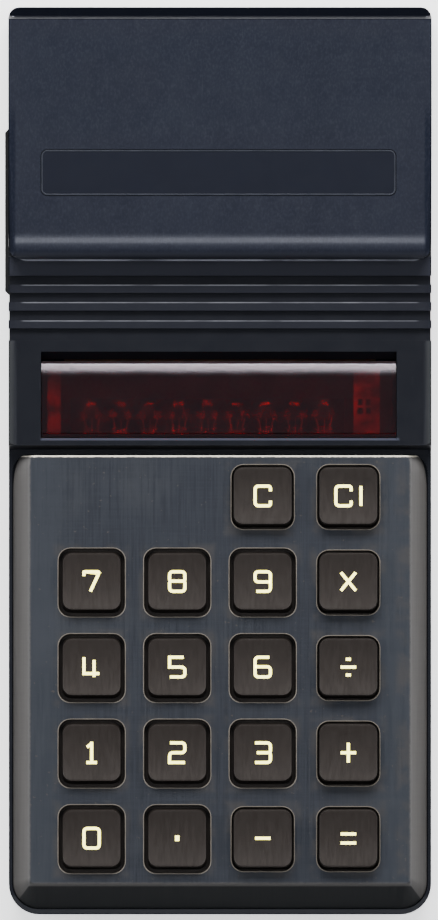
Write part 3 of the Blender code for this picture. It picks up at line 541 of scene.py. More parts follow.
def plate_paint():
    """Blue-grey paint worn through to warm grey round its edges, with crossed hairlines. Its edges
    also carry painted light: painted highlights at the sides and rear, and painted shade on the
    front slope.
    """
    mix = Finish("blue_grey_plate", (0.02, 0.024, 0.03), 0.5, 0.15, specular=0.3)
    side = mix.size("X")
    front = mix.times(mix.axis("Y"), -1.0)
    linen = mix.math("ADD", mix.times(mix.noise((4200, 90, 300), 2), 0.7),
                     mix.times(mix.noise((90, 3600, 300), 2), 0.3))
    base = mix.blend(mix.ramp(linen, 0.38, 0.62), (0.0092, 0.0112, 0.0166),
                     (0.0132, 0.0158, 0.0224))
    cloud = mix.ramp(mix.noise(70, 4, 0.6), 0.45, 0.8, 0.0, 0.35)
    base = mix.blend(cloud, base, (0.034, 0.036, 0.04))
    outer = mix.ramp(side, 23 * MM, 29 * MM, 0.0, 0.5)
    base = mix.blend(outer, base, (0.0205, 0.0245, 0.032))
    specks = mix.ramp(mix.noise(1500, 2), 0.68, 0.76, 0.0, 0.5)
    base = mix.blend(specks, base, (0.055, 0.047, 0.038))

    reach = None
    for name, first in (("X", -28.0 * MM), ("Y", -68.9 * MM)):
        cell = mix.math("MODULO", mix.minus(mix.axis(name), first), PITCH)
        off = mix.gap(cell, PITCH / 2)
        reach = off if reach is None else mix.larger(reach, off)
    bare_corner = mix.times(mix.fade(mix.axis("X"), -1.0 * MM, 1.0 * MM),
                           mix.ramp(mix.axis("Y"), -13.5 * MM, -12.0 * MM))
    handling_and_painted_light = mix.times(mix.fade(reach, 5.4 * MM, 6.9 * MM),
                       mix.ramp(mix.noise(210, 4), 0.42, 0.66),
                       mix.outside(bare_corner), 0.6)
    base = mix.blend(handling_and_painted_light, base, (0.033, 0.030, 0.0285))

    grain = mix.times(mix.minus(mix.noise(1600, 3), 0.5), 0.3 * MM)
    rough_side = mix.math("ADD", side, grain)
    # worn bare warm grey round the flat's side and front edges, also made paler as painted light
    side_wear_and_painted_light = mix.ramp(rough_side, FLAT_HALF_W - 0.45 * MM, FLAT_HALF_W - 0.05 * MM)
    front_wear_and_painted_light = mix.ramp(mix.math("ADD", front, grain), -FLAT_FRONT_Y - 0.4 * MM,
                            -FLAT_FRONT_Y + 0.1 * MM)
    slope = mix.blend(mix.ramp(side, FLAT_HALF_W, PLATE_HIGH[0] - 0.3 * MM),
                      (0.058, 0.054, 0.051), (0.033, 0.029, 0.026))
    base = mix.blend(mix.times(mix.larger(side_wear_and_painted_light, front_wear_and_painted_light), 0.85), base, slope)
    # painted shade: the front slope, which faces away from the lamps, is painted near black
    past_side = mix.larger(mix.minus(side, FLAT_HALF_W), 0.0)
    mitre = mix.minus(front, mix.times(past_side, 1.35))
    front_shade = mix.ramp(mitre, -FLAT_FRONT_Y + 0.2 * MM, -FLAT_FRONT_Y + 0.55 * MM)
    base = mix.blend(front_shade, base, (0.0012, 0.0016, 0.0021))
    # worn pale band along the flat's side edges, also brightened as a painted highlight
    edge = mix.gap(rough_side, FLAT_HALF_W - 0.02 * MM)
    bright = mix.times(mix.ramp(edge, 0.0, 0.26 * MM, 0.36, 0.0),
                      mix.outside(front_shade))
    base = mix.blend(bright, base, (0.095, 0.094, 0.096))
    # worn bare rear edge, painted near white as a painted highlight from the rear
    rear = mix.ramp(mix.math("ADD", mix.axis("Y"), grain), PLATE_HIGH[1] - 0.34 * MM,
                    PLATE_HIGH[1] - 0.14 * MM)
    mix.colour(mix.blend(rear, base, (0.72, 0.66, 0.56)))
    mix.roughness(mix.ramp(linen, 0.3, 0.7, 0.42, 0.58))
    mix.bump(linen, 0.2, 0.00005)
    return mix.material


def hole_rim():
    """Bare tan edge of the key plate's holes."""
    mix = Finish("rubbed_rim", (0.2, 0.17, 0.14), 0.45)
    mix.colour(mix.blend(mix.noise(900, 3), (0.07, 0.06, 0.05), (0.19, 0.165, 0.135)))
    return mix.material


def key_plastic():
    """Warm dark brown moulding with a faint up-and-down grain and finger stains."""
    mix = Finish("brown_key_moulding", (0.014, 0.012, 0.011), 0.38, specular=0.3)
    mix.put("Specular Tint", (1.0, 0.93, 0.9, 1))
    grain = mix.noise((2600, 420, 400), 3)
    stain = mix.noise(230, 4, 0.65)
    base = mix.blend(mix.ramp(grain, 0.35, 0.68), (0.0132, 0.0103, 0.0088),
                     (0.0144, 0.0113, 0.0097))
    base = mix.blend(mix.ramp(stain, 0.56, 0.72, 0.0, 0.5), base, (0.0075, 0.0055, 0.0045))
    dust = mix.ramp(mix.noise(3200, 1), 0.76, 0.82, 0.0, 0.5)
    mix.colour(mix.blend(dust, base, (0.045, 0.04, 0.038)))
    mix.roughness(mix.ramp(grain, 0.3, 0.7, 0.36, 0.44))
    mix.bump(grain, 0.08, 0.00004)
    return mix.material


def legend_cream():
    mix = Finish("cream_legend", (0.9, 0.88, 0.55), 0.45)
    mix.colour(mix.blend(mix.ramp(mix.noise(1300, 3), 0.3, 0.7), (0.94, 0.88, 0.34),
                         (1.0, 0.95, 0.42)))
    mix.bump(mix.noise(5000, 2), 0.05, 0.00003)
    # painted light: the legends glow, so they look brighter than the lamps alone would make them
    mix.put("Emission Color", (1.0, 0.9, 0.15, 1))
    mix.put("Emission Strength", 4.2)
    return mix.material


def red_window():
    """Deep red transparent plastic."""
    mix = Finish("deep_red_window", (0.45, 0.010, 0.015), 0.12)
    mix.put("Transmission Weight", 1.0)
    mix.put("IOR", 1.49)
    mix.put("Specular IOR Level", 0.056)
    mix.put("Specular Tint", (1.0, 0.9, 1.0, 1))
    mix.colour(mix.blend(mix.noise(220, 3), (0.43, 0.009, 0.014), (0.49, 0.012, 0.017)))
    mix.roughness(mix.ramp(mix.noise(260, 3), 0.3, 0.7, 0.15, 0.19))
    return mix.material


def lens_plastic():
    mix = Finish("clear_lens_bar", (0.6, 0.42, 0.4), 0.04)
    mix.put("Transmission Weight", 1.0)
    mix.put("IOR", 1.49)
    mix.roughness(mix.ramp(mix.noise(600, 2), 0.3, 0.7, 0.02, 0.08))
    return mix.material


def plain(name, low, high, scale, roughness, metallic=0.0, bump=0.1, stretch=(1, 1, 1),
          wander=0.2, specular=0.3):
    """A finish that wanders between two colours, with a fine grain."""
    mix = Finish(name, high, roughness, metallic, specular)
    spots = tuple(scale * s for s in stretch)
    pattern = mix.noise(spots, 3)
    mix.colour(mix.blend(mix.ramp(pattern, 0.3, 0.7), low, high))
    mix.roughness(mix.ramp(mix.noise(tuple(2.3 * s for s in spots), 2), 0.25, 0.75,
                           roughness * (1 - wander), roughness * (1 + wander)))
    mix.bump(mix.noise(tuple(6 * s for s in spots), 2), bump, 0.00004)
    return mix.material


def make_finishes():
    return {
        "case": case_plastic(),
        "plate": plate_paint(),
        "rim": hole_rim(),
        "key": key_plastic(),
        # painted highlight on the caps' rounded edges
        "key_rim": plain("key_edge_highlight", (0.016, 0.0138, 0.0128), (0.034, 0.030, 0.028),
                         600, 0.4),
        "legend": legend_cream(),
        "window": red_window(),
        "lens": lens_plastic(),
        "badge": plain("blank_badge_foil", (0.0034, 0.0044, 0.0090), (0.0037, 0.0048, 0.0097),
                       300, 0.4, bump=0.03, wander=0.04, specular=0.13),
        "badge_edge": plain("badge_bright_edge", (0.010, 0.012, 0.018), (0.016, 0.018, 0.026),
                            500, 0.34),
        "black": plain("black_moulding", (0.003, 0.003, 0.0034), (0.005, 0.005, 0.0055), 500,
                       0.42),
        # painted shade inside the key plate's holes
        "dark_hollow": plain("unlit_black", (0.0018, 0.002, 0.0024), (0.003, 0.0033, 0.0038),
                             500, 0.7),
        "chip": plain("chip_epoxy", (0.012, 0.012, 0.013), (0.02, 0.02, 0.021), 900, 0.5),
        "rubber": plain("black_rubber", (0.01, 0.01, 0.01), (0.018, 0.018, 0.018), 900, 0.8,
                        bump=0.3),
        "mat": plain("grey_silicone", (0.22, 0.21, 0.2), (0.3, 0.29, 0.27), 300, 0.7),
        "green": plain("green_board", (0.012, 0.07, 0.025), (0.02, 0.1, 0.035), 350, 0.35),
        "brown": plain("brown_board", (0.16, 0.085, 0.03), (0.22, 0.12, 0.045), 350, 0.5,
                       stretch=(1, 0.15, 1)),
        "steel": plain("plated_steel", (0.5, 0.49, 0.46), (0.62, 0.61, 0.58), 400, 0.3, 1.0,
                       stretch=(1, 0.2, 1)),
        "brass": plain("brass_pins", (0.55, 0.4, 0.16), (0.68, 0.5, 0.22), 400, 0.3, 1.0),
        "ferrite": plain("ferrite_core", (0.03, 0.029, 0.028), (0.05, 0.048, 0.046), 800, 0.6),
        "can": plain("blue_sleeve", (0.012, 0.045, 0.15), (0.02, 0.07, 0.2), 300, 0.3),
        "tan": plain("tan_lacquer", (0.32, 0.2, 0.1), (0.4, 0.26, 0.13), 500, 0.35),
        "jacket": plain("red_cell_jacket", (0.28, 0.02, 0.012), (0.36, 0.03, 0.016), 200,
                        0.3),
        "display": plain("dark_display_board", (0.004, 0.004, 0.004), (0.02, 0.016, 0.012),
                         500, 0.5),
        "die": plain("digit_die", (0.05, 0.04, 0.035), (0.16, 0.13, 0.1), 900, 0.4),
        "lead": plain("gold_lead", (0.75, 0.6, 0.4), (0.95, 0.8, 0.55), 900, 0.35),
        "strip": plain("bare_board_end", (0.08, 0.06, 0.05), (0.5, 0.4, 0.3), 260, 0.45),
        "floor": plain("pale_floor", (0.9, 0.9, 0.9), (0.94, 0.94, 0.94), 6, 0.8),
    }


FINISH = make_finishes()


# ---------------------------------------------------------------- upper case

def hump_outline():
    """The raised end's side view: a straight top that turns up into a rolled lip."""
    rear_part = arc((RIDGE[0], RIDGE[1] - RIDGE_REAR_R), RIDGE_REAR_R, 68, 90, 5)
    front_part = arc((RIDGE[0], RIDGE[1] - RIDGE_FRONT_R), RIDGE_FRONT_R, 90, 170, 10)
    start, end = Vector(HUMP_BEND), Vector(rear_part[0])
    corner = Vector((36.75 * MM, 25.67 * MM))
    points = [(HALF_L, SPLIT_Z), REAR_EDGE]
    for i in range(6):
        t = i / 6
        points.append(tuple(start * (1 - t) ** 2 + corner * 2 * t * (1 - t) + end * t ** 2))
    return points + rear_part + front_part[1:] + [(FOOT_Y, BAND_Z), (FOOT_Y, SPLIT_Z)]


def trim_to_plan(piece):
    carve(piece, plan_block("plan", HALF_W, (-HALF_L, HALF_L), (SPLIT_Z, ABOVE),
                            FRONT_CORNER, REAR_CORNER), operation="INTERSECT")


def build_upper_case():
    """A low body and a raised end, each trimmed to its plan and then joined."""
    seat_y = PLATE_HIGH[1] + FIT
    rear_y, front_y = HALF_L + OVERSIZE, -HALF_L - OVERSIZE
    low = [(rear_y, SPLIT_Z), (rear_y, BAND_Z - 2 * MM),
           (FOOT_Y + 1 * MM, BAND_Z - 2 * MM), (FOOT_Y + 0.4 * MM, BAND_Z),
           (DECK_FRONT_Y + 0.3 * MM, BAND_Z), (DECK_FRONT_Y, BAND_Z - 0.3 * MM),
           (DECK_FRONT_Y - 0.7 * MM, TRENCH_Z), (seat_y, TRENCH_Z), (seat_y, LIP_Z),
           (front_y, LIP_Z), (front_y, SPLIT_Z)]
    case = side_slab("upper_case_shell", low, BLANK_X)
    trim_to_plan(case)
    hump = side_slab("hump", hump_outline(), BLANK_X)
    lower = BAND_Z - 2.5 * MM
    carve(hump, plan_block("hump_plan", HALF_W, (FOOT_Y, HALF_L), (lower, ABOVE),
                           HUMP_FRONT_CORNER, REAR_CORNER), operation="INTERSECT")
    weld(lean_hump_sides(hump))
    rear_half = block("below", (-BEYOND, BEYOND), (FOOT_Y + 6 * MM, 90 * MM),
                      (SPLIT_Z, lower + 0.5 * MM))
    trim_to_plan(rear_half)
    carve(case, rear_half, hump, operation="UNION")
    return case


def lean_hump_sides(hump):
    """Shaves both sides of the raised end, so that they lean in towards the ridge."""
    for side in (-1, 1):
        start = Vector((side * HALF_W, 54 * MM, 24.5 * MM))
        low = Vector((side * HALF_W, 36 * MM, BAND_Z))
        high = Vector((side * (HALF_W - 0.85 * MM), 36 * MM, RIDGE[1]))
        normal = (low - start).cross(high - start).normalized()
        if normal.x * side < 0:
            normal.negate()
        pick_all(hump)
        bpy.ops.mesh.bisect(plane_co=start, plane_no=normal, use_fill=True,
                            clear_outer=True)
        done()
    return hump


def build_case_details(case):
    outer = (HALF_W - NOTCH, HALF_W + 3 * MM)
    for rear, front in GROOVES:
        y = (front * MM, rear * MM)
        carve(case, block("groove", (-BEYOND, BEYOND), y, (GROOVE_Z, ABOVE)))
        for side in (-1, 1):
            x = sorted((side * outer[0], side * outer[1]))
            carve(case, block("notch", x, y, (SPLIT_Z + 1.6 * MM, ABOVE)))
    deck = block("deck", (-RIM_INNER_X, RIM_INNER_X), (DECK_FRONT_Y - 2 * MM, GROOVES[-1][1] * MM),
                 (DECK_Z, DECK_CUT_TOP))
    pick(deck, "FACE", faces_up)
    spread = RIM_OUTER_X + (RIM_OUTER_X - RIM_INNER_X) * DECK_LEAN
    bpy.ops.transform.resize(value=(spread / RIM_INNER_X, 1, 1),
                             center_override=(0, deck.data.vertices[0].co.y, 0))
    done()
    carve(case, deck)

    seat = plan_block("seat", PLATE_HIGH[0] + FIT, (PLATE_LOW[1] - FIT, PLATE_HIGH[1] + FIT),
                      (LEDGE_Z, ABOVE), 4.3 * MM, 2.9 * MM)
    carve(case, seat)
    carve(case, block("key_room", (-29.3 * MM, 29.3 * MM), (-68.4 * MM, 0.5 * MM),
                      (SPLIT_Z - 1 * MM, ABOVE)))

    x = (WINDOW_LOW[0] - 0.3 * MM, WINDOW_HIGH[0] + 0.3 * MM)
    front_y, rear_y, bottom_z = 3.4 * MM, 17.9 * MM, 9 * MM
    sill_y, shade_y = front_y + 0.35 * MM, rear_y - 1.5 * MM
    mouth = [(front_y, ABOVE), (front_y, DECK_Z), (sill_y, DECK_Z - 0.45 * MM),
             (sill_y, bottom_z), (shade_y, bottom_z), (shade_y, 18.1 * MM),
             (rear_y, DECK_Z), (rear_y, ABOVE)]
    carve(case, side_slab("window_mouth", mouth, x))
    carve(case, badge_block("badge_seat", 0.12 * MM, 8 * MM, 0.45 * MM))


def badge_block(name, grow, height, depth):
    """A rounded block on the badge's place, its underside depth below the hump's top."""
    middle_y = (BADGE_LOW[1] + BADGE_HIGH[1]) / 2
    part = (REAR_EDGE[0] - middle_y) / (REAR_EDGE[0] - HUMP_BEND[0])
    surface = REAR_EDGE[1] + part * (HUMP_BEND[1] - REAR_EDGE[1])
    half = (BADGE_HIGH[1] - BADGE_LOW[1]) / 2 + grow
    piece = block(name, (BADGE_LOW[0] - grow, BADGE_HIGH[0] + grow), (-half, half),
                  (-depth, height - depth))
    round_uprights(piece, 1.0 * MM + grow)
    slope = math.atan2(HUMP_BEND[1] - REAR_EDGE[1], REAR_EDGE[0] - HUMP_BEND[0])
    piece.rotation_euler.x = -slope
    piece.location = (0, middle_y, surface)
    return settle(piece)


def build_case_sides(case):
    """The switch's recess, the socket's hole and the hollow inside."""
    low_z, high_z = KNOB_LOW[2] - 0.3 * MM, KNOB_HIGH[2] + 0.3 * MM
    recess = block("recess", (-40 * MM, -33.0 * MM), (26.9 * MM, 59.7 * MM), (low_z, high_z))
    pad = block("pad", (-33.7 * MM, -31.6 * MM), (25 * MM, 61.5 * MM), (11.2 * MM, 19.4 * MM))
    hollow_x, rear_y, front_y, bottom_z = HALF_W - WALL, 70.9 * MM, 4.2 * MM, 5 * MM
    step_y, ridge_z = 35.2 * MM, 23.8 * MM
    inner = [(rear_y, bottom_z), (rear_y, 22.2 * MM), (HUMP_BEND[0], ridge_z),
             (step_y, ridge_z), (step_y, 18.8 * MM), (front_y, 18.2 * MM),
             (front_y, bottom_z)]
    carve(case, side_slab("hollow", inner, (-hollow_x, hollow_x)))
    carve(case, plan_block("key_hollow", hollow_x, (-HALF_L + WALL, 4.6 * MM),
                           (bottom_z, LEDGE_Z - 1.6 * MM), FRONT_CORNER - WALL, 0.5 * MM))
    carve(case, pad, operation="UNION")
    slot = block("slot", (-40 * MM, -30 * MM), (37.7 * MM, 45.9 * MM), (14.2 * MM, 16.8 * MM))
    carve(case, recess, slot)
    carve(case, drum("jack_hole", 2.8 * MM, 6 * MM, (HALF_W, 27 * MM, 14.5 * MM), "X"))


def finish_upper_case():
    case = build_upper_case()
    build_case_details(case)
    build_case_sides(case)
    clean(case)
    soften(case, 0.2 * MM, 2, 30)
    wear(case, FINISH["case"])
    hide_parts("upper_case")
    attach(case, BODY)


# ---------------------------------------------------------------- key plate

def oval_corner(corner, radii, quarter):
    """Points round a quarter of an ellipse; quarter 0 starts at +X and runs to +Y."""
    points = []
    for i in range(CORNER_STEPS + 1):
        angle = math.pi / 2 * (quarter + i / CORNER_STEPS)
        points.append((corner[0] + radii[0] * math.cos(angle),
                       corner[1] + radii[1] * math.sin(angle)))
    return points


def plate_outline(half_w, front, rear, front_r, rear_r):
    """The key plate seen from above, anticlockwise from its rear right corner."""
    front_x, rear_x = half_w - front_r, half_w - rear_r[0]
    front_y, rear_y = front + front_r, rear - rear_r[1]
    return (oval_corner((rear_x, rear_y), rear_r, 0)
            + oval_corner((-rear_x, rear_y), rear_r, 1)
            + oval_corner((-front_x, front_y), (front_r, front_r), 2)
            + oval_corner((front_x, front_y), (front_r, front_r), 3))


def draw_flat(name, points, z):
    """A bare outline of (x, y) points at one height."""
    piece = flat_outline(name, points)
    piece.location.z = z
    return settle(piece)


def loft(rings, name):
    """Bridges closed outlines of equal length from the bottom up, and caps both ends."""
    piece = join(rings, name)
    pick_all(piece)
    bpy.ops.mesh.bridge_edge_loops()
    done()
    for height in (min, max):
        level = height(v.co.z for v in piece.data.vertices)
        pick(piece, "EDGE", lambda e: all(abs(v.co.z - level) < 1e-6 for v in e.verts))
        bpy.ops.mesh.edge_face_add()
        done()
    return weld(piece)


def build_key_plate():
    rear = PLATE_HIGH[1]
    half_w, front = PLATE_HIGH[0], PLATE_LOW[1]
    flat = plate_outline(FLAT_HALF_W, FLAT_FRONT_Y, rear, 1.0 * MM,
                         (1.0 * MM, PLATE_REAR_CORNER[1] * 0.55))
    edge = plate_outline(half_w, front, rear, PLATE_FRONT_CORNER, PLATE_REAR_CORNER)
    rings = [draw_flat("plate_foot", edge, PLATE_LOW[2]),
             draw_flat("plate_edge", edge, PLATE_LOW[2] + 0.35 * MM),
             draw_flat("plate_flat", flat, PLATE_TOP)]
    plate = loft(rings, "key_plate_cover")
    carve(plate, block("underside", (-30.4 * MM, 30.4 * MM), (-68.3 * MM, 0.3 * MM),
                       (10 * MM, PLATE_TOP - PLATE_T)))
    apply(plate, "BEVEL", width=0.3 * MM, segments=4, limit_method="ANGLE",
          angle_limit=math.radians(20))
    score_between_keys(plate)
    for key in KEYS:
        carve(plate, hole_block(key, 0.0, (10 * MM, ABOVE)))
    mark_rims(plate)
    return plate


def score_between_keys(plate):
    """Divides the plate's faces into one cell to a key, which keeps the holes clean."""
    centres = [key_centre(key) for key in KEYS]
    cuts = []
    for axis, normal in ((0, (1, 0, 0)), (1, (0, 1, 0))):
        rows = sorted({round(centre[axis], 5) for centre in centres})
        for before, after in zip(rows, rows[1:]):
            at = [0, 0, 0]
            at[axis] = (before + after) / 2
            cuts.append((at, normal))
    for at, normal in cuts:
        pick_all(plate)
        bpy.ops.mesh.bisect(plane_co=at, plane_no=normal)
        done()


def key_centre(key):
    low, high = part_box(key)
    return (low[0] + high[0]) / 2, (low[1] + high[1]) / 2


def hole_block(key, grow, z):
    x, y = key_centre(key)
    size = FUNCTION_HOLE if key in FUNCTION_KEYS else DIGIT_HOLE
    half_x, half_y = size[0] / 2 + grow, size[1] / 2 + grow
    piece = block("hole", (x - half_x, x + half_x), (y - half_y, y + half_y), z)
    round_uprights(piece, HOLE_CORNER + grow, segments=6)
    return piece


def on_hole_rim(edge):
    """An edge where the plate's flat top meets a hole's wall."""
    if any(abs(v.co.z - PLATE_TOP) > 0.005 * MM for v in edge.verts):
        return False
    return sum(1 for face in edge.link_faces if abs(face.normal.z) < 0.3) == 1


def mark_rims(plate):
    """Rounds the holes' upper rims, and gives the rounding its own finish."""
    wear(plate, FINISH["plate"], FINISH["rim"], FINISH["dark_hollow"])
    pick(plate, "EDGE", on_hole_rim)
    bpy.ops.mesh.bevel(offset=0.18 * MM, segments=2, affect="EDGES", material=1)
    done()
    # the hole walls take the near-black dark_hollow finish, painted shade
    for face in plate.data.polygons:
        x, y, z = face.center
        in_hole = z < PLATE_TOP - 0.19 * MM and abs(face.normal.z) < 0.3
        if in_hole and abs(x) < 28 * MM and -68 * MM < y < 0.1 * MM:
            face.material_index = 2
    even_shade(plate, 40)


def finish_key_plate():
    plate = build_key_plate()
    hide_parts("key_plate")
    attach(plate, BODY)


# ---------------------------------------------------------------- keys

CAP_BASE = (9.75 * MM, 10.1 * MM)
CAP_TOP = (9.4 * MM, 9.15 * MM)
CAP_SHIFT = 0.18 * MM
CAP_CORNER = 1.5 * MM
DIGIT_CAP_Z = 21.3 * MM
FUNCTION_CAP_Z = 21.7 * MM
DISH_R = 30.0 * MM
DISH_DEPTH = 0.32 * MM


def build_cap(name, hole, top_z):
    """A cap, its flange and stem, centred on the origin; only the heights are in place."""
    flange_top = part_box("key_7")[0][2] + 4.1 * MM
    cap = block(name, (-CAP_BASE[0] / 2, CAP_BASE[0] / 2),
                (-CAP_BASE[1] / 2, CAP_BASE[1] / 2), (flange_top - 0.4 * MM, top_z))
    pick(cap, "FACE", faces_up)
    bpy.ops.transform.resize(value=(CAP_TOP[0] / CAP_BASE[0], CAP_TOP[1] / CAP_BASE[1], 1),
                             center_override=(0, 0, top_z))
    bpy.ops.transform.translate(value=(0, CAP_SHIFT, 0))
    done()
    pick(cap, "EDGE", lambda e: abs(e.verts[0].co.z - e.verts[1].co.z) > 1 * MM)
    bpy.ops.mesh.bevel(offset=CAP_CORNER, segments=6, affect="EDGES")
    done()
    roller = drum("dish", DISH_R, 30 * MM, (0, CAP_SHIFT, top_z + DISH_R - DISH_DEPTH), "X", 256)
    carve(cap, roller)
    # the cap's rounded edges take the key_rim finish, a painted highlight
    wear(cap, FINISH["key"], FINISH["key_rim"])
    apply(cap, "BEVEL", width=0.34 * MM, segments=4, limit_method="ANGLE",
          angle_limit=math.radians(40), use_clamp_overlap=True, material=1)
    flange_x, flange_y = hole[0] / 2 + 0.3 * MM, hole[1] / 2 + 0.3 * MM
    flange = block("flange", (-flange_x, flange_x), (-flange_y, flange_y),
                   (flange_top - 0.8 * MM, flange_top))
    round_uprights(flange, 1.2 * MM, segments=3)
    pick(flange, "FACE", faces_down)
    bpy.ops.mesh.inset(thickness=4.2 * MM)
    pull_down(3.3 * MM)
    done()
    carve(cap, flange, operation="UNION")
    return even_shade(cap, 40)


def copy_to(original, name, x, y):
    """A copy with its own mesh, moved in the plane, its place in its mesh."""
    piece = original.copy()
    piece.data = original.data.copy()
    piece.name = name
    show(piece)
    piece.location = (x, y, 0)
    return settle(piece)


# Each letter says first whether its strokes close into loops. Then each stroke is a row of
# corners in a box one unit wide and one high, with a corner's rounding as its third number.
ROUND = 0.16
STROKE = 0.49 * MM
LEGEND_SIZE = (2.9992 * MM, 3.7054 * MM)
ROUND_UNIT = 3.82 * MM             # a corner rounded by 1
TWO_LETTERS_X = (-2.05 * MM, 2.05 * MM)
STROKE_STEP = 0.006 * MM           # by which each further stroke of a legend lies higher
STROKES = {
    "0": (True, [(0, 0, ROUND), (1, 0, ROUND), (1, 1, ROUND), (0, 1, ROUND)]),
    "1": (False, [(0.5, 1.05, 0), (0.5, 0, 0)], [(0.2, 0.78, 0), (0.5, 0.96, 0)],
          [(0.16, 0, 0), (0.84, 0, 0)]),
    "2": (False, [(0.04, 1, 0), (1, 1, ROUND), (1, 0.5, ROUND), (0, 0.5, ROUND), (0, 0, 0),
                  (1, 0, 0)]),
    "3": (False, [(0, 1, 0), (1, 1, ROUND), (1, 0.5, 0.1), (0.12, 0.5, 0)],
          [(0, 0, 0), (1, 0, ROUND), (1, 0.5, 0.1), (0.12, 0.5, 0)]),
    "4": (False, [(0, 1, 0), (0, 0.17, 0), (1, 0.17, 0)], [(0.66, 0.86, 0), (0.66, 0, 0)]),
    "5": (False, [(0.92, 1, 0), (0, 1, 0), (0, 0.5, 0), (1, 0.5, ROUND), (1, 0, ROUND),
                  (0.03, 0, 0)]),
    "6": (False, [(0.92, 1, 0), (0, 1, ROUND), (0, 0, ROUND), (1, 0, ROUND),
                  (1, 0.52, ROUND), (0.02, 0.52, 0)]),
    "7": (False, [(0, 0.78, 0), (0, 1, 0.03), (0.96, 1, 0.06), (0.96, 0.9, 0.05),
                  (0.42, 0, 0)]),
    "8": (True, [(0, 0.52, 0.1), (1, 0.52, 0.1), (1, 1, ROUND), (0, 1, ROUND)],
          [(0, 0, ROUND), (1, 0, ROUND), (1, 0.52, 0.1), (0, 0.52, 0.1)]),
    "9": (False, [(0.08, 0, 0), (1, 0, ROUND), (1, 1, ROUND), (0, 1, ROUND),
                  (0, 0.48, ROUND), (0.98, 0.48, 0)]),
    "C": (False, [(1, 0.74, 0.04), (1, 1, ROUND), (0, 1, ROUND), (0, 0, ROUND),
                  (1, 0, ROUND), (1, 0.26, 0.04)]),
    "I": (False, [(0, 0, 0), (0, 1, 0)]),
    "x": (False, [(0.02, 0.96, 0), (0.98, 0.04, 0)], [(0.02, 0.04, 0), (0.98, 0.96, 0)]),
    "+": (False, [(0, 0.5, 0), (1, 0.5, 0)], [(0.5, 0, 0), (0.5, 1, 0)]),
    "-": (False, [(0, 0.5, 0), (1, 0.5, 0)]),
    "=": (False, [(0, 0.26, 0), (1, 0.26, 0)], [(0, 0.72, 0), (1, 0.72, 0)]),
    "/": (False, [(0, 0.5, 0), (1, 0.5, 0)], [(0.34, 0.9, 0), (0.66, 0.9, 0)],
          [(0.34, 0.1, 0), (0.66, 0.1, 0)]),
    ".": (False, [(0.36, 0.5, 0), (0.64, 0.5, 0)]),
}
LEGENDS = {"key_clear": "C", "key_clear_entry": "CI", "key_times": "x", "key_divide": "/",
           "key_plus": "+", "key_minus": "-", "key_equals": "=", "key_point": "."}
DOT_STROKE = 0.9 * MM


def rounded_corners(points, closed):
    """Replaces each corner that has a rounding by a short arc."""
    path = []
    count = len(points)
    for i, (corner, radius) in enumerate(points):
        at_end = not closed and i in (0, count - 1)
        if radius <= 0 or at_end:
            path.append(corner)
            continue
        before = points[i - 1][0] - corner
        after = points[(i + 1) % count][0] - corner
        reach = min(radius, before.length * 0.5, after.length * 0.5)
        start = corner + before.normalized() * reach
        end = corner + after.normalized() * reach
        for step in range(6):
            t = step / 5
            path.append(start * (1 - t) ** 2 + corner * 2 * t * (1 - t) + end * t ** 2)
    return path


def stroke_outline(path, closed, width):
    """The two sides of a flat stroke, with mitred corners."""
    left, right = [], []
    count = len(path)
    for i, point in enumerate(path):
        before = point - path[i - 1] if closed or i > 0 else path[1] - path[0]
        after = path[(i + 1) % count] - point if closed or i < count - 1 else before
        before, after = before.normalized(), after.normalized()
        along = (before + after).normalized()
        across = Vector((-along.y, along.x))
        reach = width / 2 / max(0.5, across.dot(Vector((-before.y, before.x))))
        left.append(point + across * reach)
        right.append(point - across * reach)
    return left, right


def stroke_piece(points, closed, width, centre, origin, size, z):
    """One stroke as a thin solid ribbon, drawn as two rails and bridged."""
    placed = []
    for x, y, radius in points:
        corner = Vector((origin[0] + x * size[0], origin[1] + y * size[1]))
        placed.append((corner, radius * ROUND_UNIT))
    path = rounded_corners(placed, closed)
    left, right = stroke_outline(path, closed, width)
    if not closed:
        outline = left + right[::-1]
        piece = draw_flat("stroke", [(p.x + centre[0], p.y + centre[1]) for p in outline], z)
        pick(piece, "EDGE", lambda e: True)
        bpy.ops.mesh.edge_face_add()
        done()
    else:
        rails = [draw_flat("rail", [(p.x + centre[0], p.y + centre[1]) for p in rail], z)
                 for rail in (left, right)]
        piece = join(rails, "stroke")
        pick(piece, "EDGE", lambda e: True)
        bpy.ops.mesh.bridge_edge_loops()
        done()
    pick_all(piece)
    pull_down(0.35 * MM)
    done()
    return weld(piece)


def build_legend(key, top_z):
    text = LEGENDS.get(key, key[-1])
    x, y = key_centre(key)
    width = DOT_STROKE if text == "." else STROKE
    box = (LEGEND_SIZE[0] - STROKE, LEGEND_SIZE[1] - STROKE)
    strokes = []
    for i, letter in enumerate(text):
        closed, *lines = STROKES[letter]
        start_x = -box[0] / 2
        if len(text) == 2:
            start_x = TWO_LETTERS_X[i]
        for line in lines:
            level = top_z + len(strokes) * STROKE_STEP
            strokes.append(stroke_piece(line, closed, width, (x, y + CAP_SHIFT),
                                        (start_x, -box[1] / 2), box, level))
    return join(strokes, key.replace("key_", "legend_"))


def finish_keys():
    kinds = {}
    for key in KEYS:
        function = key in FUNCTION_KEYS
        top_z = FUNCTION_CAP_Z if function else DIGIT_CAP_Z
        if function not in kinds:
            hole = FUNCTION_HOLE if function else DIGIT_HOLE
            kinds[function] = build_cap("cap", hole, top_z)
        cap = copy_to(kinds[function], key.replace("key_", "cap_"), *key_centre(key))
        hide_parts(key)
        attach(cap, key + "_body")
        legend = build_legend(key, top_z - DISH_DEPTH + 0.09 * MM)
        wear(smooth(legend), FINISH["legend"])
        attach(legend, key + "_body")
    for original in kinds.values():
        bpy.data.objects.remove(original, do_unlink=True)


# ---------------------------------------------------------------- display

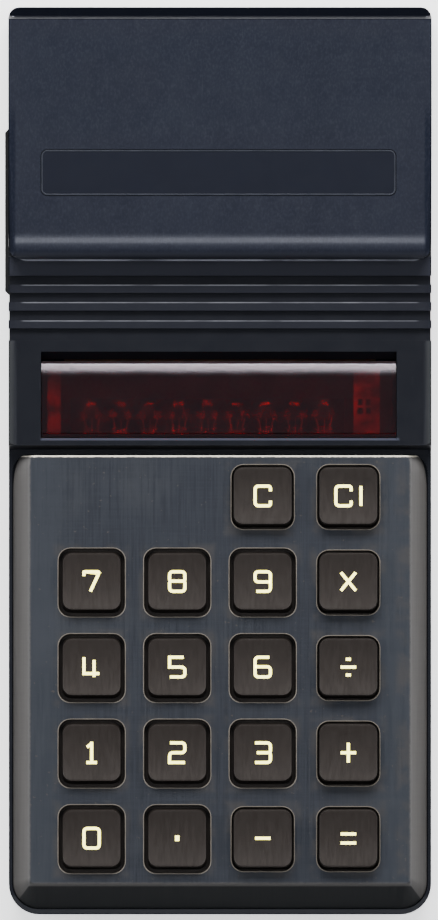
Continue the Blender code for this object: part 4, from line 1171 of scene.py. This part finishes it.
def finish_window():
    """The red window: rolled over at its rear, with a low step along its front."""
    top, bottom = WINDOW_HIGH[2], WINDOW_LOW[2]
    front = WINDOW_LOW[1]
    flange_rear, slope_end = WINDOW_HIGH[1] + 0.05 * MM, 15.95 * MM
    points = [(front, bottom), (flange_rear, bottom), (flange_rear, top - 1.1 * MM),
              (slope_end, top - 1.0 * MM), (slope_end, top - 0.66 * MM)]
    tilt, y, z = 0.0, 13.7 * MM, top
    glare = [(y, z)]
    while y < slope_end - 0.2 * MM:
        tilt += max(0.12, (19.0 - tilt) * 0.24)
        y, z = y + 0.12 * MM, z - 0.12 * MM * math.tan(math.radians(tilt))
        glare.append((y, z))
    points += glare[::-1]
    points += [(4.6 * MM, top), (4.45 * MM, top - 0.15 * MM), (4.45 * MM, top - 0.6 * MM),
               (front, top - 0.6 * MM)]
    window = side_slab("red_window_bar", points, (WINDOW_LOW[0] - 0.2 * MM,
                                                   WINDOW_HIGH[0] + 0.2 * MM))
    smooth(window, 25)
    wear(window, FINISH["window"])
    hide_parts("display_window")
    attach(window, BODY)


DIGITS = 9
DIGIT_PITCH = 4.76 * MM


def digit_x(i):
    """The middle of a digit, counted from the left."""
    low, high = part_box("display_lens")
    return (low[0] + high[0]) / 2 + (i - (DIGITS - 1) / 2) * DIGIT_PITCH


def finish_lens_bar():
    """Nine domed magnifiers on one clear bar."""
    low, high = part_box("display_lens")
    middle_y = (low[1] + high[1]) / 2
    base_z = low[2] + 0.9 * MM
    bar = block("magnifier_bar", (low[0], high[0]), (low[1], high[1]), (low[2], base_z))
    for i in range(DIGITS):
        deselect()
        bpy.ops.mesh.primitive_uv_sphere_add(segments=32, ring_count=20, radius=1,
                                             location=(digit_x(i), middle_y, base_z))
        dome = bpy.context.active_object
        dome.scale = (2.25 * MM, 2.7 * MM, high[2] - base_z)
        settle(dome)
        carve(bar, dome, operation="UNION")
    smooth(bar, 40)
    wear(bar, FINISH["lens"])
    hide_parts("display_lens")
    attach(bar, BODY)


def finish_digits():
    """Nine small dies with lead wires fanned out behind them, and the board's bare ends."""
    board_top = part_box("display_board")[1][2]
    z = (board_top + 0.02 * MM, board_top + 0.2 * MM)
    dies, leads = [], []
    for i in range(DIGITS):
        x = digit_x(i)
        dies.append(block("die", (x - 0.7 * MM, x + 0.7 * MM), (6.9 * MM, 8.9 * MM), z))
        for reach, width in ((-1.5, 0.16), (-0.75, 0.12), (0.1, 0.12), (0.85, 0.14),
                             (1.55, 0.3)):
            lead = block("lead", (-width / 2 * MM, width / 2 * MM), (-1.3 * MM, 1.1 * MM), z)
            lead.rotation_euler.z = -math.radians(reach * 16)
            lead.location = (x + reach * MM, 5.95 * MM, 0)
            leads.append(settle(lead))
    chips = wear(join(dies, "digit_dies"), FINISH["die"])
    wires = wear(join(leads, "digit_leads"), FINISH["lead"])
    ends = [block("end", (-28.3 * MM, -26.1 * MM), (4.7 * MM, 14.6 * MM), z),
            block("end", (21.9 * MM, 26.2 * MM), (4.5 * MM, 14.6 * MM), z)]
    for x, y in ((23.0, 8.2), (24.3, 8.2), (23.0, 9.6), (24.3, 9.6)):
        carve(ends[1], block("pad", ((x - 0.4) * MM, (x + 0.4) * MM),
                             ((y - 0.5) * MM, (y + 0.5) * MM), (0, ABOVE)))
    strips = wear(join(ends, "board_ends"), FINISH["strip"])
    for piece in (chips, wires, strips):
        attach(piece, BODY)


BADGE_FACE_AREA = 100 * MM * MM    # more than any face of the badge's edge has


def finish_badge():
    badge = badge_block("blank_badge", -0.02 * MM, 0.47 * MM, 0.45 * MM)
    wear(badge, FINISH["badge"], FINISH["badge_edge"])
    pick(badge, "FACE", faces_up)
    bpy.ops.mesh.inset(thickness=0.22 * MM)
    pull_down(0.06 * MM)
    done()
    for face in badge.data.polygons:
        face.material_index = 0 if face.area > BADGE_FACE_AREA else 1
    soften(badge, 0.05 * MM, 2, 40)
    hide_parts("name_badge")
    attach(badge, BODY)


# ---------------------------------------------------------------- switch knob

def finish_knob():
    knob = block("slide_knob", (KNOB_LOW[0], -33.3 * MM), (KNOB_LOW[1], KNOB_HIGH[1]),
                 (KNOB_LOW[2], KNOB_HIGH[2]))
    pick(knob, "EDGE", lambda e: all(v.co.x < KNOB_LOW[0] + 0.01 * MM for v in e.verts)
         and abs(e.verts[0].co.y - e.verts[1].co.y) < 1e-7)
    bpy.ops.mesh.bevel(offset=0.6 * MM, segments=1, affect="EDGES")
    done()
    middle = (KNOB_LOW[1] + KNOB_HIGH[1]) / 2
    for i in range(9):
        y = middle + (i - 4) * 2.0 * MM
        carve(knob, block("ridge", (-40 * MM, KNOB_LOW[0] + 0.35 * MM),
                          (y - 0.4 * MM, y + 0.4 * MM),
                          (KNOB_LOW[2] + 0.8 * MM, KNOB_HIGH[2] - 0.8 * MM)))
    stem = block("stem", (-33.8 * MM, KNOB_HIGH[0]), (38.0 * MM, 40.6 * MM),
                 (14.5 * MM, 16.5 * MM))
    carve(knob, stem, operation="UNION")
    soften(knob, 0.1 * MM, 2, 40)
    wear(knob, FINISH["black"])
    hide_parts("switch_knob")
    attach(knob, "power_switch")


# ---------------------------------------------------------------- pieces kept from the frame

def dress_frame():
    """Finishes for the frame's own pieces, which keep their shape."""
    finishes = {
        "case": ("lower_case", "battery_cover"),
        "black": ("key_frame", "power_jack"),
        "mat": ("contact_mat",),
        "green": ("keyboard_board",),
        "display": ("display_board",),
        "brown": ("logic_board",),
        "chip": ("calculator_chip", "digit_driver_chip", "power_transistor"),
        "brass": ("keyboard_connector", "display_connector"),
        "ferrite": ("converter_coil",),
        "can": ("filter_capacitor", "input_capacitor"),
        "tan": ("resistor_1", "resistor_2"),
        "steel": ("switch_body", "battery_contact_plus", "battery_contact_minus",
                  "battery_contact_link", *(f"case_screw_{i}" for i in range(1, 5))),
        "jacket": ("battery_cell_1", "battery_cell_2"),
        "rubber": tuple(f"rubber_foot_{i}" for i in range(1, 5)),
    }
    for finish, nodes in finishes.items():
        for node in nodes:
            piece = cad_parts[node]
            for slot in piece.material_slots:
                slot.material = FINISH[finish]


# ---------------------------------------------------------------- floor, light and camera

def area_light(name, place, target, size, power):
    lamp = bpy.data.lights.new(name, "AREA")
    lamp.shape = "RECTANGLE"
    lamp.size, lamp.size_y = size
    lamp.energy = power
    item = bpy.data.objects.new(name, lamp)
    item.location = place
    aim = Vector(target) - Vector(place)
    item.rotation_euler = aim.to_track_quat("-Z", "Y").to_euler()
    show(item)


def make_studio():
    deselect()
    bpy.ops.mesh.primitive_plane_add(size=6, location=(0, 0, -0.05 * MM))
    floor = bpy.context.active_object
    floor.name = "floor"
    wear(floor, FINISH["floor"])
    glow = FINISH["floor"].node_tree.nodes["Principled BSDF"].inputs
    glow["Emission Color"].default_value = (1, 1, 1, 1)
    glow["Emission Strength"].default_value = 1.2
    world = bpy.data.worlds.new("studio")
    world.use_nodes = True
    sky = world.node_tree.nodes["Background"].inputs
    sky["Color"].default_value = (0.82, 0.9, 1, 1)
    sky["Strength"].default_value = 0.34
    bpy.context.scene.world = world
    area_light("rear_softbox", (0, 0.75, 0.7), (0, 0, 0), (0.9, 0.35), 28)
    area_light("left_softbox", (-0.62, 0.1, 0.75), (0, 0, 0), (0.3, 0.8), 4.0)
    area_light("right_softbox", (0.62, 0.1, 0.75), (0, 0, 0), (0.3, 0.8), 4.0)


SHOWN_LENGTH = 150.82 * MM         # of the view from above, front to rear
AIM = 0.16 * MM                    # how far off the middle the camera stands, both ways


def make_camera():
    """A long lens straight above, which shows almost no perspective."""
    data = bpy.data.cameras.new("camera")
    data.lens = 700
    data.sensor_width = 36
    camera = bpy.data.objects.new("camera", data)
    distance = SHOWN_LENGTH * data.lens / data.sensor_width
    camera.location = (-AIM, AIM, 15 * MM + distance)
    data.clip_end = 20
    show(camera)
    bpy.context.scene.camera = camera


finish_upper_case()
finish_key_plate()
finish_keys()
finish_window()
finish_lens_bar()
finish_digits()
finish_badge()
finish_knob()
dress_frame()
make_studio()
make_camera()
deselect()
